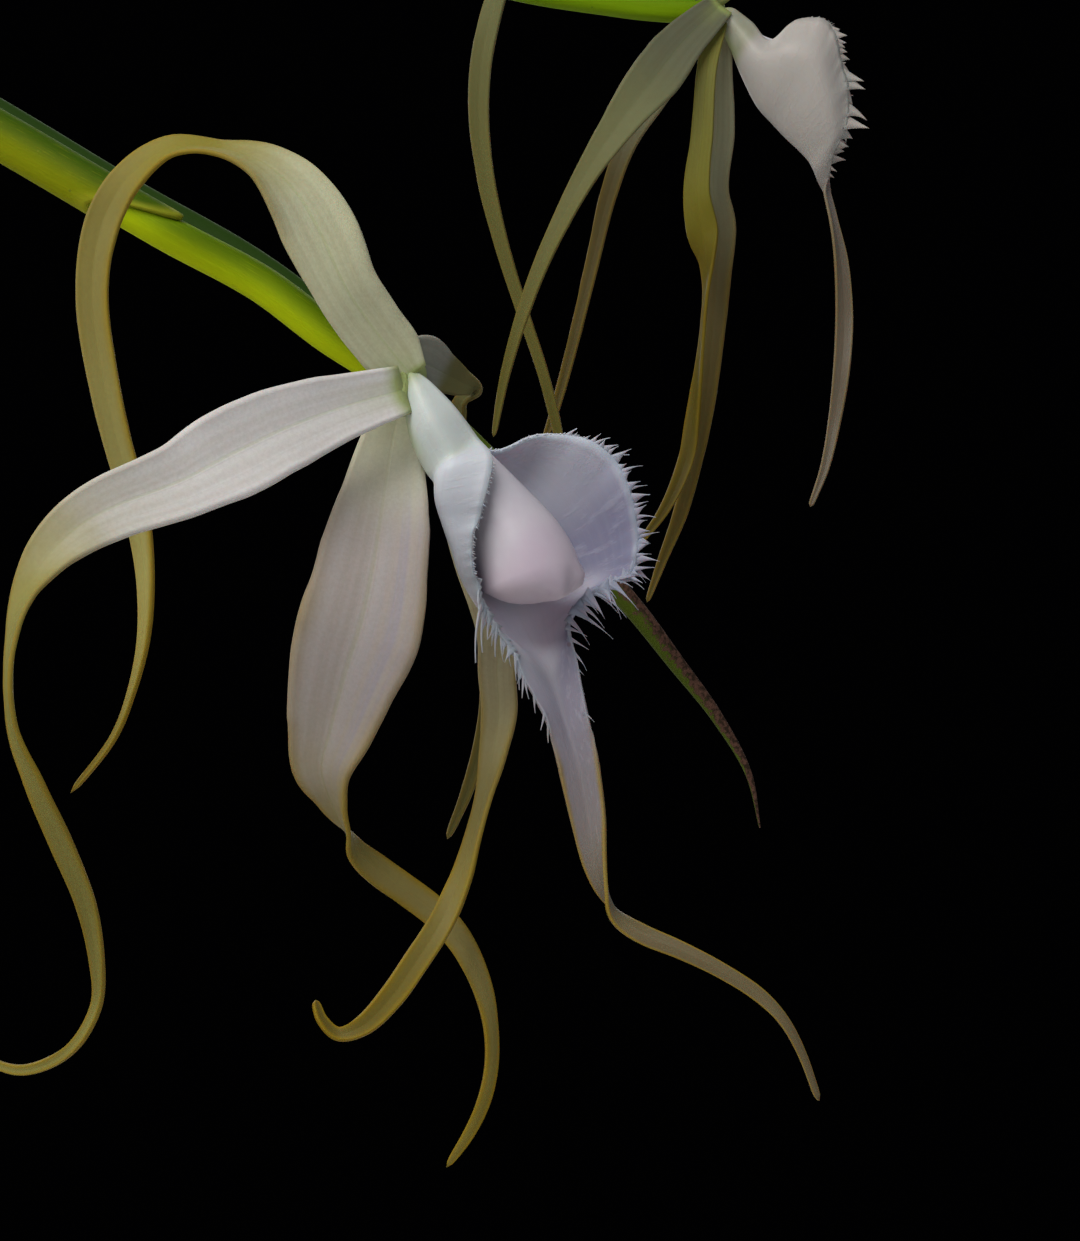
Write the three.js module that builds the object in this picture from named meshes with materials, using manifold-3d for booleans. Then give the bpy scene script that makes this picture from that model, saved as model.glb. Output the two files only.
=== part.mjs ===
// Potted Brassavola cucullata: an orchid in a clay pot, with two open flowers.
// Millimetres, +Z up, +X to the right and +Y away from the viewer.
// The origin is the middle of the pot's foot.
import * as THREE from 'three';
import Module from 'manifold-3d';
import { mergeVertices } from 'three/addons/utils/BufferGeometryUtils.js';

// Clearance between pieces that touch
const GAP = 0.35;

// Pot: height, rim, wall and floor
const POT_HEIGHT = 100;
const RIM_RADIUS = 58.5;
const RIM_HEIGHT = 18;
const FOOT_RADIUS = 41;
const SHOULDER_RADIUS = 53.5;
const POT_WALL = 4.5;
const POT_FLOOR = 6;
const DRAIN_RADIUS = 5;
const DRAIN_CIRCLE = 23;
const DRAINS = 4;
const RIM_BEVEL = 1.5;
const SHOULDER_BEVEL = 1;

// Bark mix: its level at the pot's wall and the height of its dome
const BARK_EDGE = 84;
const BARK_TOP = 88;
const BARK_DOME_RADIUS = 50;

// Stems, sheaths and stalks
const RHIZOME_RADIUS = 3;
const CANE_RADIUS = 2;
const SHEATH_WALL = 0.45;
const LEAF_RADIUS = 2.1;
const ROOT_RADIUS = 1.6;
const PEDICEL_RADIUS = 1.55;

// Petals and sepals: thickness and the narrowest width of a tip
const PETAL_THICKNESS = 0.7;
const TIP_WIDTH = 0.9;

// How finely petals and lips are divided, and how deep they are cupped
const PETAL_STEPS = 26;
const PETAL_ACROSS = 3;
const PETAL_CUP = 0.1;
const LIP_STEPS_PER_SECTION = 2;
const LIP_ACROSS = 7;
const LIP_TAIL_STEPS = 14;
const LIP_CUP = 0.1;

// How finely round pieces are divided: sides round them and steps along them
const ROD_SIDES = 8;
const CANE_STEPS = 12;
const CANE_SHEATH_STEPS = 4;
const LEAF_STEPS = 22;
const STALK_STEPS = 26;
const SPATHE_STEPS = 14;
const ROOT_STEPS = 14;
const RHIZOME_STEPS = 14;
const COLUMN_SIDES = 12;
const COLUMN_STEPS = 12;
const POT_SEGMENTS = 48;
const BARK_SEGMENTS = 32;
const DRAIN_SIDES = 16;
const FRAME_STEPS = 200;

// The point of each flower where its parts meet
const FLOWER_1 = [115, -60, 190];
const FLOWER_2 = [148, 57, 243.3];

// Direction from the viewer into the scene
const VIEW = new THREE.Vector3(0, 1, 0);

const COLOURS = {
  clay: [0xb5673f, 0.85],
  bark: [0x5a3a25, 0.95],
  rhizome: [0x6d7340, 0.7],
  cane: [0x7f9a3f, 0.5],
  sheath: [0xb9a77c, 0.85],
  leaf: [0x40602c, 0.45],
  root: [0xc9c8b4, 0.8],
  pedicel: [0xa9bf2c, 0.45],
  petal: [0xe9e2d6, 0.5],
  lip: [0xece9f2, 0.5],
  column: [0xf3e4ea, 0.4],
};

const plant = new THREE.Group();

function add(name, geometry, colour) {
  const [hex, roughness] = COLOURS[colour];
  const material = new THREE.MeshStandardMaterial({ color: hex, roughness, metalness: 0 });
  const mesh = new THREE.Mesh(geometry, material);
  mesh.name = name;
  plant.add(mesh);
}

const vector = ([x, y, z]) => new THREE.Vector3(x, y, z);

const curveThrough = (points) => new THREE.CatmullRomCurve3(points.map(vector));

// Value of an evenly spaced list at t from 0 to 1
function blend(values, t) {
  const place = t * (values.length - 1);
  const index = Math.min(Math.floor(place), values.length - 2);
  return THREE.MathUtils.lerp(values[index], values[index + 1], place - index);
}

// Closed geometry from points and triangles, its faces turned outward
function closed(points, triangles) {
  let volume = 0;
  for (const [a, b, c] of triangles) {
    volume += points[a].dot(new THREE.Vector3().crossVectors(points[b], points[c]));
  }
  const faces = volume < 0 ? triangles.map(([a, b, c]) => [a, c, b]) : triangles;
  const geometry = new THREE.BufferGeometry();
  const positions = points.flatMap((p) => [p.x, p.y, p.z]);
  geometry.setAttribute('position', new THREE.Float32BufferAttribute(positions, 3));
  geometry.setIndex(faces.flat());
  geometry.computeVertexNormals();
  return geometry;
}

// Rings of points along a curve, between t values from and to
function rings(curve, radiusAt, sides, steps, from = 0, to = 1) {
  const frames = curve.computeFrenetFrames(FRAME_STEPS);
  const result = [];
  for (let i = 0; i <= steps; i += 1) {
    const u = from + ((to - from) * i) / steps;
    const frame = Math.round(u * FRAME_STEPS);
    const centre = curve.getPointAt(u);
    const ring = [];
    for (let j = 0; j < sides; j += 1) {
      const angle = (2 * Math.PI * j) / sides;
      const radius = radiusAt(u);
      ring.push(centre.clone()
        .addScaledVector(frames.normals[frame], radius * Math.cos(angle))
        .addScaledVector(frames.binormals[frame], radius * Math.sin(angle)));
    }
    result.push(ring);
  }
  return result;
}

function bridge(triangles, first, second, sides) {
  for (let j = 0; j < sides; j += 1) {
    const next = (j + 1) % sides;
    triangles.push([first + j, first + next, second + j]);
    triangles.push([first + next, second + next, second + j]);
  }
}

// Solid rod whose radius follows the list of radii
function rod(points, radii, sides, steps) {
  const all = rings(curveThrough(points), (u) => blend(radii, u), sides, steps);
  const corners = all.flat();
  const triangles = [];
  for (let i = 0; i < steps; i += 1) {
    bridge(triangles, i * sides, (i + 1) * sides, sides);
  }
  const last = steps * sides;
  for (let j = 1; j < sides - 1; j += 1) {
    triangles.push([0, j + 1, j]);
    triangles.push([last, last + j, last + j + 1]);
  }
  return closed(corners, triangles);
}

// Open-ended sleeve round a rod
function sleeve(points, radii, sides, steps, from, to) {
  const curve = curveThrough(points);
  const inner = rings(curve, (u) => blend(radii, u) + GAP, sides, steps, from, to);
  const outer = rings(curve, (u) => blend(radii, u) + GAP + SHEATH_WALL, sides, steps, from, to);
  const corners = [...outer.flat(), ...inner.flat()];
  const inside = outer.length * sides;
  const triangles = [];
  for (let i = 0; i < steps; i += 1) {
    bridge(triangles, i * sides, (i + 1) * sides, sides);
    bridge(triangles, inside + (i + 1) * sides, inside + i * sides, sides);
  }
  bridge(triangles, inside, 0, sides);
  bridge(triangles, steps * sides, inside + steps * sides, sides);
  return closed(corners, triangles);
}

// Leaf-thin sheet through rows of points, with its thickness on both sides
function sheet(rows, thickness) {
  const along = rows.length;
  const across = rows[0].length;
  const front = [];
  const back = [];
  for (let i = 0; i < along; i += 1) {
    for (let j = 0; j < across; j += 1) {
      const before = rows[Math.max(i - 1, 0)][j];
      const after = rows[Math.min(i + 1, along - 1)][j];
      const left = rows[i][Math.max(j - 1, 0)];
      const right = rows[i][Math.min(j + 1, across - 1)];
      const normal = new THREE.Vector3().crossVectors(after.clone().sub(before), right.clone().sub(left));
      normal.normalize();
      front.push(rows[i][j].clone().addScaledVector(normal, thickness / 2));
      back.push(rows[i][j].clone().addScaledVector(normal, -thickness / 2));
    }
  }
  const inside = front.length;
  const at = (i, j) => i * across + j;
  const triangles = [];
  const quad = (a, b, c, d) => {
    triangles.push([a, b, c]);
    triangles.push([a, c, d]);
  };
  for (let i = 0; i < along - 1; i += 1) {
    for (let j = 0; j < across - 1; j += 1) {
      quad(at(i, j), at(i + 1, j), at(i + 1, j + 1), at(i, j + 1));
      quad(inside + at(i, j), inside + at(i, j + 1), inside + at(i + 1, j + 1), inside + at(i + 1, j));
    }
    quad(at(i, 0), inside + at(i, 0), inside + at(i + 1, 0), at(i + 1, 0));
    const j = across - 1;
    quad(at(i, j), at(i + 1, j), inside + at(i + 1, j), inside + at(i, j));
  }
  const i = along - 1;
  for (let j = 0; j < across - 1; j += 1) {
    quad(at(0, j), at(0, j + 1), inside + at(0, j + 1), inside + at(0, j));
    quad(at(i, j), inside + at(i, j), inside + at(i, j + 1), at(i, j + 1));
  }
  return closed([...front, ...back], triangles);
}

// Rows of a ribbon. A station is [x, y, z, width, turn]: the turn in degrees is 0 where the ribbon
// faces the viewer, and cup is how far its middle lies behind its margins, as a part of the width.
function ribbonRows(stations, origin, steps, across, cup) {
  const path = curveThrough(stations);
  const widths = stations.map((station) => station[3]);
  const turns = stations.map((station) => THREE.MathUtils.degToRad(station[4]));
  const rows = [];
  for (let i = 0; i <= steps; i += 1) {
    const t = i / steps;
    const middle = path.getPoint(t).add(vector(origin));
    const tangent = path.getTangent(t);
    const side = new THREE.Vector3().crossVectors(tangent, VIEW).normalize();
    side.applyAxisAngle(tangent, blend(turns, t));
    const normal = new THREE.Vector3().crossVectors(tangent, side);
    const width = Math.max(blend(widths, t), TIP_WIDTH);
    const row = [];
    for (let j = 0; j < across; j += 1) {
      const u = (2 * j) / (across - 1) - 1;
      row.push(middle.clone()
        .addScaledVector(side, (u * width) / 2)
        .addScaledVector(normal, cup * width * u * u));
    }
    rows.push(row);
  }
  return rows;
}

// The five points of a tube's section, from one margin round to the other
function tubeSection([x, y, z], radius, tangent) {
  const side = new THREE.Vector3().crossVectors(tangent, VIEW).normalize();
  const angles = [-162, -84, 0, 84, 162];
  return angles.map((degrees) => {
    const angle = THREE.MathUtils.degToRad(degrees);
    const point = new THREE.Vector3(x, y, z);
    point.addScaledVector(side, -radius * Math.cos(angle));
    return point.addScaledVector(VIEW, radius * Math.sin(angle));
  });
}

// Lip: rolled claw, hooded blade and a long tail, as one sheet
function lipRows(lip, origin) {
  const claw = lip.claw.map(([x, y, z, radius]) => tubeSection([x, y, z], radius, vector(lip.axis)));
  const sections = [...claw, ...lip.blade.map((section) => section.map(vector))];
  const steps = (sections.length - 1) * LIP_STEPS_PER_SECTION;
  const rails = [0, 1, 2, 3, 4].map((rail) => new THREE.CatmullRomCurve3(sections.map((s) => s[rail])));
  const rows = [];
  for (let i = 0; i <= steps; i += 1) {
    const section = new THREE.CatmullRomCurve3(rails.map((rail) => rail.getPoint(i / steps)));
    const row = [];
    for (let j = 0; j < LIP_ACROSS; j += 1) {
      row.push(section.getPoint(j / (LIP_ACROSS - 1)).add(vector(origin)));
    }
    rows.push(row);
  }
  return [...rows, ...ribbonRows(lip.tail, origin, LIP_TAIL_STEPS, LIP_ACROSS, LIP_CUP)];
}

// Near flower, seen from behind and above. Stations are from the flower's own point.
const NEAR_FLOWER = {
  dorsal_sepal: [
    [-0.9, -1.0, 1.7, 1.8, 0], [-2.3, -2.5, 3.7, 4.5, 0], [-4.3, -3.5, 6.7, 5.2, 0],
    [-6.3, -4.5, 11.0, 6.2, 0], [-8.3, -5.0, 14.3, 5.4, 12], [-11.1, -5.0, 16.7, 4.0, 38],
    [-14.9, -4.5, 17.9, 3.3, 64], [-18.9, -4.0, 17.9, 3.1, 48], [-22.0, -3.5, 15.8, 3.0, 25],
    [-23.8, -3.5, 13.2, 2.9, 5], [-24.8, -4.0, 9.7, 2.8, 0], [-25.0, -4.5, 5.5, 2.6, 0],
    [-24.2, -5.0, -0.2, 2.5, 0], [-22.9, -5.0, -6.0, 2.3, 0], [-21.4, -4.5, -11.7, 2.1, 10],
    [-20.7, -4.0, -17.0, 1.7, 30], [-20.8, -4.0, -21.9, 1.2, 35], [-21.8, -4.0, -26.4, 0.7, 30],
    [-23.3, -4.5, -30.3, 0.55, 20], [-26.7, -5.0, -34.8, 0.5, 0],
  ],
  near_petal: [
    [-1.6, -1.6, -0.5, 1.8, 0], [-4.4, -4.0, -3.1, 4.9, 0], [-9.0, -7.0, -5.1, 7.0, 0],
    [-13.5, -10.0, -7.6, 7.3, 0], [-16.9, -12.0, -9.6, 6.2, 0], [-22.1, -14.0, -11.8, 5.2, 0],
    [-24.5, -15.0, -13.3, 4.8, 6], [-26.8, -16.0, -15.7, 4.0, 24], [-28.4, -16.5, -18.5, 3.4, 50],
    [-29.3, -17.0, -21.8, 2.8, 66], [-29.6, -17.0, -25.7, 2.5, 72], [-29.3, -16.0, -29.7, 2.2, 62],
    [-27.9, -15.0, -33.7, 2.0, 38], [-26.2, -13.0, -38.5, 1.9, 10], [-24.6, -11.0, -43.4, 1.6, 0],
    [-24.0, -9.0, -48.0, 1.3, 20], [-24.3, -7.0, -51.9, 1.0, 35], [-26.1, -6.0, -55.1, 0.9, 20],
    [-28.5, -5.0, -56.9, 0.9, 0], [-31.4, -4.0, -57.6, 0.8, 0], [-34.9, -3.0, -56.3, 0.6, 0],
    [-37.9, -2.0, -53.6, 0.5, 0],
  ],
  near_sepal: [
    [-0.6, 0.4, -2.6, 1.8, 0], [-0.9, 2.8, -6.0, 4.6, 0], [-1.5, -1.0, -11.7, 7.6, 0],
    [-2.1, -4.6, -16.7, 9.2, 0], [-3.0, -6.0, -21.1, 10.1, 0], [-4.0, -6.0, -24.3, 9.4, 0],
    [-5.4, -5.0, -29.4, 7.3, 8], [-6.2, -4.0, -33.0, 5.4, 25], [-5.4, -3.0, -35.7, 3.8, 52],
    [-4.4, -2.0, -37.9, 3.0, 78], [-3.5, -1.0, -39.8, 2.7, 120], [-1.8, 0.0, -41.5, 2.6, 150],
    [0.4, 0.8, -43.2, 2.5, 165], [3.0, 1.5, -45.3, 2.4, 172], [5.2, 2.0, -48.0, 2.1, 175],
    [6.9, 2.0, -51.7, 1.7, 155], [7.6, 1.5, -55.0, 1.4, 135], [7.6, 1.0, -58.1, 1.2, 145],
    [7.0, 0.0, -60.7, 1.1, 160], [5.8, -0.5, -63.3, 0.9, 175], [3.9, -1.0, -66.1, 0.5, 180],
  ],
  far_sepal: [
    [0.6, 2.6, -2.0, 1.8, 0], [4.2, 7.0, -7.6, 4.0, 20], [6.2, 8.8, -15.0, 4.4, 25],
    [8.1, 8.2, -21.2, 3.9, 15], [8.0, 6.6, -25.2, 3.2, 0], [8.2, 5.0, -28.4, 3.0, 0],
    [7.8, 3.5, -31.8, 2.6, 28], [7.1, 2.0, -35.4, 2.4, 58], [6.2, 0.5, -38.7, 2.3, 60],
    [5.1, -1.5, -42.2, 2.2, 42], [3.6, -3.5, -45.4, 2.1, 15], [1.6, -5.0, -48.5, 2.1, 0],
    [-0.4, -6.0, -51.3, 2.0, 0], [-2.7, -6.5, -53.6, 1.6, 5], [-4.7, -6.5, -54.3, 1.1, 30],
    [-6.0, -6.5, -53.2, 0.9, 40], [-6.6, -6.2, -51.6, 0.6, 20],
  ],
  far_petal: [
    [1.2, 1.5, 1.1, 1.8, 0], [2.3, 2.9, 1.0, 3.8, 0], [3.5, 4.2, 0.3, 4.0, 0],
    [4.9, 5.4, -0.4, 2.8, 10], [6.0, 6.6, -1.0, 1.6, 40], [5.5, 8.0, -1.8, 1.8, 70],
    [4.8, 10.0, -3.6, 2.0, 60], [4.5, 12.0, -6.0, 2.0, 30], [4.6, 13.6, -9.5, 1.9, 0],
    [5.9, 14.2, -15.5, 1.6, 0], [7.1, 14.2, -21.5, 1.4, 0], [7.0, 13.4, -27.6, 1.2, 0],
    [6.4, 12.5, -31.7, 1.1, 0], [5.3, 11.8, -35.6, 1.0, 0], [3.6, 11.2, -39.7, 0.5, 0],
  ],
  lip: {
    axis: [0.56, 0, -0.83],
    claw: [[1.7, 0.1, -2.0, 1.1], [2.7, 0.1, -4.3, 1.9], [4.45, 0.3, -6.8, 2.45]],
    blade: [
      [[7.7, -1.9, -7.2], [3.2, -2.5, -8.6], [3.2, 1.8, -9.7], [6.3, 4.7, -7.6], [8.1, 2.4, -6.0]],
      [[7.5, -3.6, -9.7], [2.8, -2.2, -10.4], [5.1, 4.2, -11.0], [9.1, 6.5, -7.7], [11.7, 4.6, -5.0]],
      [[6.7, -4.0, -12.2], [3.4, -2.2, -12.4], [6.2, 5.0, -13.4], [12.4, 7.2, -10.4], [16.4, 4.8, -5.6]],
      [[5.9, -4.0, -14.4], [4.1, -2.4, -14.7], [7.2, 5.6, -15.6], [14.4, 7.4, -13.0], [19.1, 4.5, -9.0]],
      [[6.2, -3.2, -16.2], [4.9, -2.2, -16.7], [8.3, 5.6, -17.8], [15.5, 7.0, -15.2], [19.9, 4.2, -13.0]],
      [[6.7, -2.2, -18.4], [6.0, -1.4, -18.6], [9.5, 5.0, -20.0], [15.9, 6.2, -17.4], [19.7, 3.8, -16.1]],
      [[7.3, -0.8, -20.3], [7.6, 0.0, -20.9], [10.8, 4.0, -22.4], [14.7, 4.8, -19.3], [16.8, 3.4, -18.1]],
      [[9.0, 0.2, -22.8], [9.9, 0.9, -23.2], [12.2, 2.8, -24.4], [13.8, 3.3, -21.9], [14.3, 2.9, -20.2]],
      [[10.5, 0.6, -25.8], [11.6, 1.2, -26.1], [13.0, 2.2, -26.7], [14.0, 2.6, -25.7], [14.9, 2.4, -24.7]],
      [[12.2, 1.0, -29.2], [13.0, 1.5, -29.4], [13.9, 2.1, -29.6], [14.9, 2.0, -29.2], [15.7, 1.8, -28.7]],
    ],
    tail: [
      [14.9, 2.0, -32.8, 3.4, 0], [15.7, 2.0, -37.0, 3.0, 12], [16.4, 1.5, -41.0, 2.5, 40],
      [17.2, 1.0, -43.5, 2.2, 72], [18.3, 0.5, -45.5, 1.8, 125], [20.2, 0.0, -46.8, 1.7, 150],
      [23.3, -0.5, -48.1, 1.4, 165], [26.6, -1.0, -49.7, 1.2, 170], [29.9, -1.5, -51.8, 1.1, 165],
      [31.9, -2.0, -53.9, 0.9, 150], [33.3, -2.0, -56.5, 0.7, 150], [34.7, -2.0, -60.4, 0.5, 150],
    ],
  },
  column: {
    points: [
      [6.2, 0.9, -8.2], [7.3, 0.8, -10.4], [8.8, 0.6, -13.0], [10.0, 0.4, -15.2],
      [10.7, 0.3, -17.0], [11.1, 0.3, -18.2], [11.2, 0.3, -18.9],
    ],
    radii: [1.9, 2.3, 2.9, 3.5, 3.7, 3.4, 2.2],
  },
};

// Flower behind, seen from its side
const REAR_FLOWER = {
  dorsal_sepal: [
    [-0.8, -0.9, 2.2, 1.8, 0], [-3.5, -3.0, 4.8, 4.8, 0], [-8.4, -5.0, 8.9, 5.7, 0],
    [-15.0, -6.0, 11.1, 4.6, 30], [-21.5, -6.0, 8.3, 3.4, 60], [-25.6, -5.0, 2.4, 2.8, 40],
    [-27.9, -4.0, -4.6, 2.6, 10], [-28.7, -3.0, -12.2, 2.4, 0], [-27.9, -2.0, -20.5, 2.1, 10],
    [-26.1, -1.0, -28.2, 1.8, 20], [-23.7, 0.0, -35.9, 1.5, 20], [-20.9, 1.0, -44.3, 1.3, 10],
    [-19.1, 2.0, -51.5, 1.1, 0], [-18.4, 3.0, -56.3, 0.5, 0],
  ],
  near_petal: [
    [-1.6, -2.2, -0.9, 1.8, 0], [-4.5, -5.0, -5.2, 5.3, 0], [-7.6, -8.0, -9.6, 6.0, 0],
    [-11.5, -10.0, -14.9, 4.5, 10], [-14.9, -11.0, -20.0, 3.2, 15], [-18.1, -12.0, -25.8, 2.4, 20],
    [-21.1, -13.0, -32.2, 1.9, 20], [-23.6, -13.0, -39.0, 1.5, 20], [-25.5, -12.0, -45.6, 1.1, 10],
    [-26.8, -11.0, -52.5, 0.5, 0],
  ],
  near_sepal: [
    [-0.3, -1.2, -2.2, 1.8, 0], [-1.4, -4.0, -8.4, 2.4, 15], [-2.0, -5.0, -16.4, 2.8, 25],
    [-2.6, -5.0, -23.0, 3.3, 25], [-1.9, -4.4, -27.6, 3.8, 15], [-1.3, -4.0, -31.2, 2.8, 58],
    [-1.4, -3.6, -35.5, 2.4, 84], [-2.0, -3.0, -42.1, 2.2, 78], [-2.8, -2.4, -48.7, 2.1, 50],
    [-3.8, -2.0, -54.7, 1.9, 10], [-6.3, -3.0, -60.5, 1.3, 0], [-9.6, -4.0, -65.0, 0.5, 0],
  ],
  far_sepal: [
    [-0.2, 1.5, -2.3, 1.8, 0], [0.2, 1.6, -8.2, 3.7, 10], [0.3, 2.2, -14.5, 4.2, 20],
    [-0.2, 2.2, -21.5, 4.1, 30], [0.6, 2.2, -26.2, 4.0, 25], [0.3, 2.2, -31.8, 3.4, 18],
    [-0.35, 1.9, -38.8, 2.95, 10], [-1.15, 1.7, -46.5, 2.45, 0], [-2.5, 1.5, -53.9, 2.1, 0],
    [-4.4, 1.0, -61.2, 1.7, 0], [-6.5, 1.0, -66.7, 1.1, 0], [-8.4, 0.0, -71.8, 0.5, 0],
  ],
  far_petal: [
    [-1.3, 2.0, -0.8, 1.8, 20], [-3.1, 7.0, -3.8, 3.8, 30], [-6.5, 13.0, -8.3, 3.5, 30],
    [-10.2, 16.0, -13.5, 2.7, 20], [-12.7, 17.0, -20.3, 2.1, 10], [-14.8, 17.0, -29.1, 1.7, 10],
    [-17.1, 16.0, -38.7, 1.4, 10], [-19.5, 15.0, -47.6, 1.1, 0], [-21.2, 14.0, -52.6, 0.5, 0],
  ],
  lip: {
    axis: [0.75, 0, -0.66],
    claw: [[1.8, 0, -1.4, 1.1], [3.2, 0, -2.8, 1.9]],
    blade: [
      [[6.6, -2.5, -4.1], [5.0, -4.0, -6.4], [3.5, 0.0, -9.2], [5.6, 4.0, -5.0], [7.2, 2.5, -3.2]],
      [[9.6, -3.5, -2.1], [7.6, -5.5, -6.7], [5.1, 0.0, -12.0], [8.8, 5.5, -4.7], [10.4, 3.5, -0.7]],
      [[13.1, -4.0, -2.5], [10.8, -6.0, -8.0], [6.9, 0.0, -14.0], [12.1, 6.0, -5.8], [14.2, 4.0, -1.2]],
      [[15.3, -4.0, -6.8], [12.5, -5.5, -10.8], [8.4, 0.0, -15.6], [13.8, 5.5, -8.7], [16.3, 4.0, -5.1]],
      [[16.4, -3.5, -11.1], [13.6, -4.5, -13.7], [9.9, 0.0, -17.0], [14.7, 4.5, -12.1], [17.3, 3.5, -9.6]],
      [[16.2, -3.0, -15.0], [14.2, -3.2, -16.2], [11.2, 0.0, -18.4], [14.8, 3.2, -15.2], [17.0, 3.0, -13.8]],
      [[14.3, -2.0, -17.7], [13.3, -1.8, -18.3], [11.9, 0.0, -19.7], [13.7, 1.8, -17.7], [14.9, 2.0, -16.9]],
      [[13.5, -1.0, -20.3], [13.2, -0.8, -20.5], [12.4, 0.0, -21.3], [13.3, 0.8, -20.3], [13.7, 1.0, -19.9]],
    ],
    tail: [
      [13.3, -0.4, -22.6, 1.9, -64], [14.0, -1.0, -26.0, 1.5, -48], [14.9, -1.0, -30.8, 1.9, -28],
      [15.3, -1.0, -37.2, 2.1, -12], [14.9, -2.0, -43.9, 1.9, 0], [14.0, -2.0, -50.5, 1.4, 10],
      [12.8, -3.0, -55.7, 1.0, 0], [11.0, -4.0, -60.4, 0.5, 0],
    ],
  },
  column: {
    points: [[5.4, 0, -4.9], [7.4, 0, -6.0], [9.2, 0, -7.0], [10.8, 0, -8.0], [12.0, 0, -8.8]],
    radii: [1.3, 1.8, 2.3, 2.4, 1.2],
  },
};

function addFlower(number, flower, origin) {
  for (const part of ['dorsal_sepal', 'near_petal', 'far_petal', 'near_sepal', 'far_sepal']) {
    const rows = ribbonRows(flower[part], origin, PETAL_STEPS, PETAL_ACROSS, PETAL_CUP);
    add(`flower_${number}_${part}`, sheet(rows, PETAL_THICKNESS), 'petal');
  }
  add(`flower_${number}_lip`, sheet(lipRows(flower.lip, origin), PETAL_THICKNESS), 'lip');
  const shift = ([x, y, z]) => [x + origin[0], y + origin[1], z + origin[2]];
  const column = rod(flower.column.points.map(shift), flower.column.radii, COLUMN_SIDES, COLUMN_STEPS);
  add(`flower_${number}_column`, column, 'column');
}

// Each growth: a cane from the rhizome, one rod-like leaf at its end
const GROWTHS = [
  {
    shared: true,
    cane: [[24, -13, 93.5], [24, -16, 130], [27, -28, 172], [33, -43, 206], [42, -52, 221]],
    leaf: [
      [42.6, -50.5, 222.2], [46, -51.2, 225.8], [52, -50, 225.3], [61, -48, 222.5], [70, -46.5, 218.3],
      [79.1, -45, 213.2], [90.3, -43.5, 206.6], [101.5, -42, 200.4],
      [111.6, -41.5, 192.7], [120.9, -41.5, 184.0], [133.1, -41.5, 171.8], [139.2, -41.5, 164],
      [142.3, -41.5, 159.5], [145, -41.5, 154.6], [146.3, -41.5, 150.9],
    ],
    radii: [1.7, 1.9, 2.0, 2.0, 2.0, 2.0, 1.95, 1.85, 1.75, 1.6, 1.35, 1.1, 0.85, 0.6, 0.25],
  },
  {
    shared: true,
    cane: [[14, -7, 94.4], [16, 4, 140], [24, 20, 195], [42, 33, 245], [64, 39, 265]],
    leaf: [
      [63.8, 40.9, 265.5], [68, 42.6, 270], [74, 54, 288], [72, 74, 306], [58, 98, 318],
      [30, 130, 308], [2, 150, 270], [-20, 158, 222],
    ],
  },
  {
    cane: [[4, -2, 95.5], [-4, 10, 135], [-16, 17, 182]],
    leaf: [[-32, 24, 235], [-62, 30, 275], [-100, 34, 285], [-135, 36, 262], [-155, 38, 222]],
  },
  {
    cane: [[-6, 1.2, 95.1], [-12, -6, 130], [-22, -18, 165]],
    leaf: [[-38, -32, 215], [-68, -54, 250], [-106, -76, 252], [-138, -94, 220], [-151, -102, 186]],
  },
  {
    cane: [[-15, 3.3, 95.2], [-30, 8, 120], [-46, 14, 145]],
    leaf: [[-66, 22, 180], [-100, 36, 202], [-137, 50, 192], [-162, 58, 158]],
  },
  {
    cane: [[-24, 7, 93.9], [-31, 24, 118], [-37, 44, 140]],
    leaf: [[-44, 70, 180], [-50, 104, 205], [-52, 140, 200], [-52, 164, 168]],
  },
  {
    cane: [[31, -17.4, 92.6], [34, -27, 112], [35, -37, 130]],
    leaf: [[36, -58, 160], [32, -92, 174], [24, -122, 160], [17, -138, 130]],
  },
];
const LEAF_GAP = 0.45;
const LEAF_JOINT = 9;
const LEAF_TAPER = [0.8, 0.97, 1, 1, 0.96, 0.88, 0.75, 0.55, 0.15].map((part) => part * LEAF_RADIUS);
const CANE_TAPER = [1.1, 1, 1, 1, 1.05].map((part) => part * CANE_RADIUS);
const CANE_SHEATH = [0.1, 0.45];

// Flower stalks and the roots that run over the bark and the rim
const STALKS = [
  {
    points: [
      [41.9, -54.3, 221.2], [44.5, -56.2, 223.9], [49, -57, 224.4], [55, -57, 222.9], [62, -56.6, 220],
      [71, -56, 215.8], [80.9, -55.5, 210.4], [89.4, -55.8, 205.4], [95.4, -56.2, 201.9],
      [103.1, -57, 197.7], [109, -58, 193.3], [113, -58.9, 190.8], [114.8, -59.7, 189.8],
    ],
    sheath: [0.12, 0.65],
  },
  {
    points: [
      [65.1, 37.1, 265.5], [68.6, 38.2, 267.4], [73, 40, 267.6], [79, 42.5, 265.4], [88, 46, 260.2],
      [104, 52, 251.8], [122, 56, 246], [134.9, 57, 244], [141, 57, 243.3], [147.7, 57, 243.1],
    ],
    sheath: [0.12, 0.6],
  },
];
const PEDICEL_TAPER = [1.15, 1, 1, 1, 1, 1, 1.02, 1.06, 1.1].map((part) => part * PEDICEL_RADIUS);
const ROOT_TAPER = [0.8, 1, 1, 1, 0.5].map((part) => part * ROOT_RADIUS);
const RHIZOME_TAPER = [0.7, 1, 1, 1, 0.8].map((part) => part * RHIZOME_RADIUS);

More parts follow.
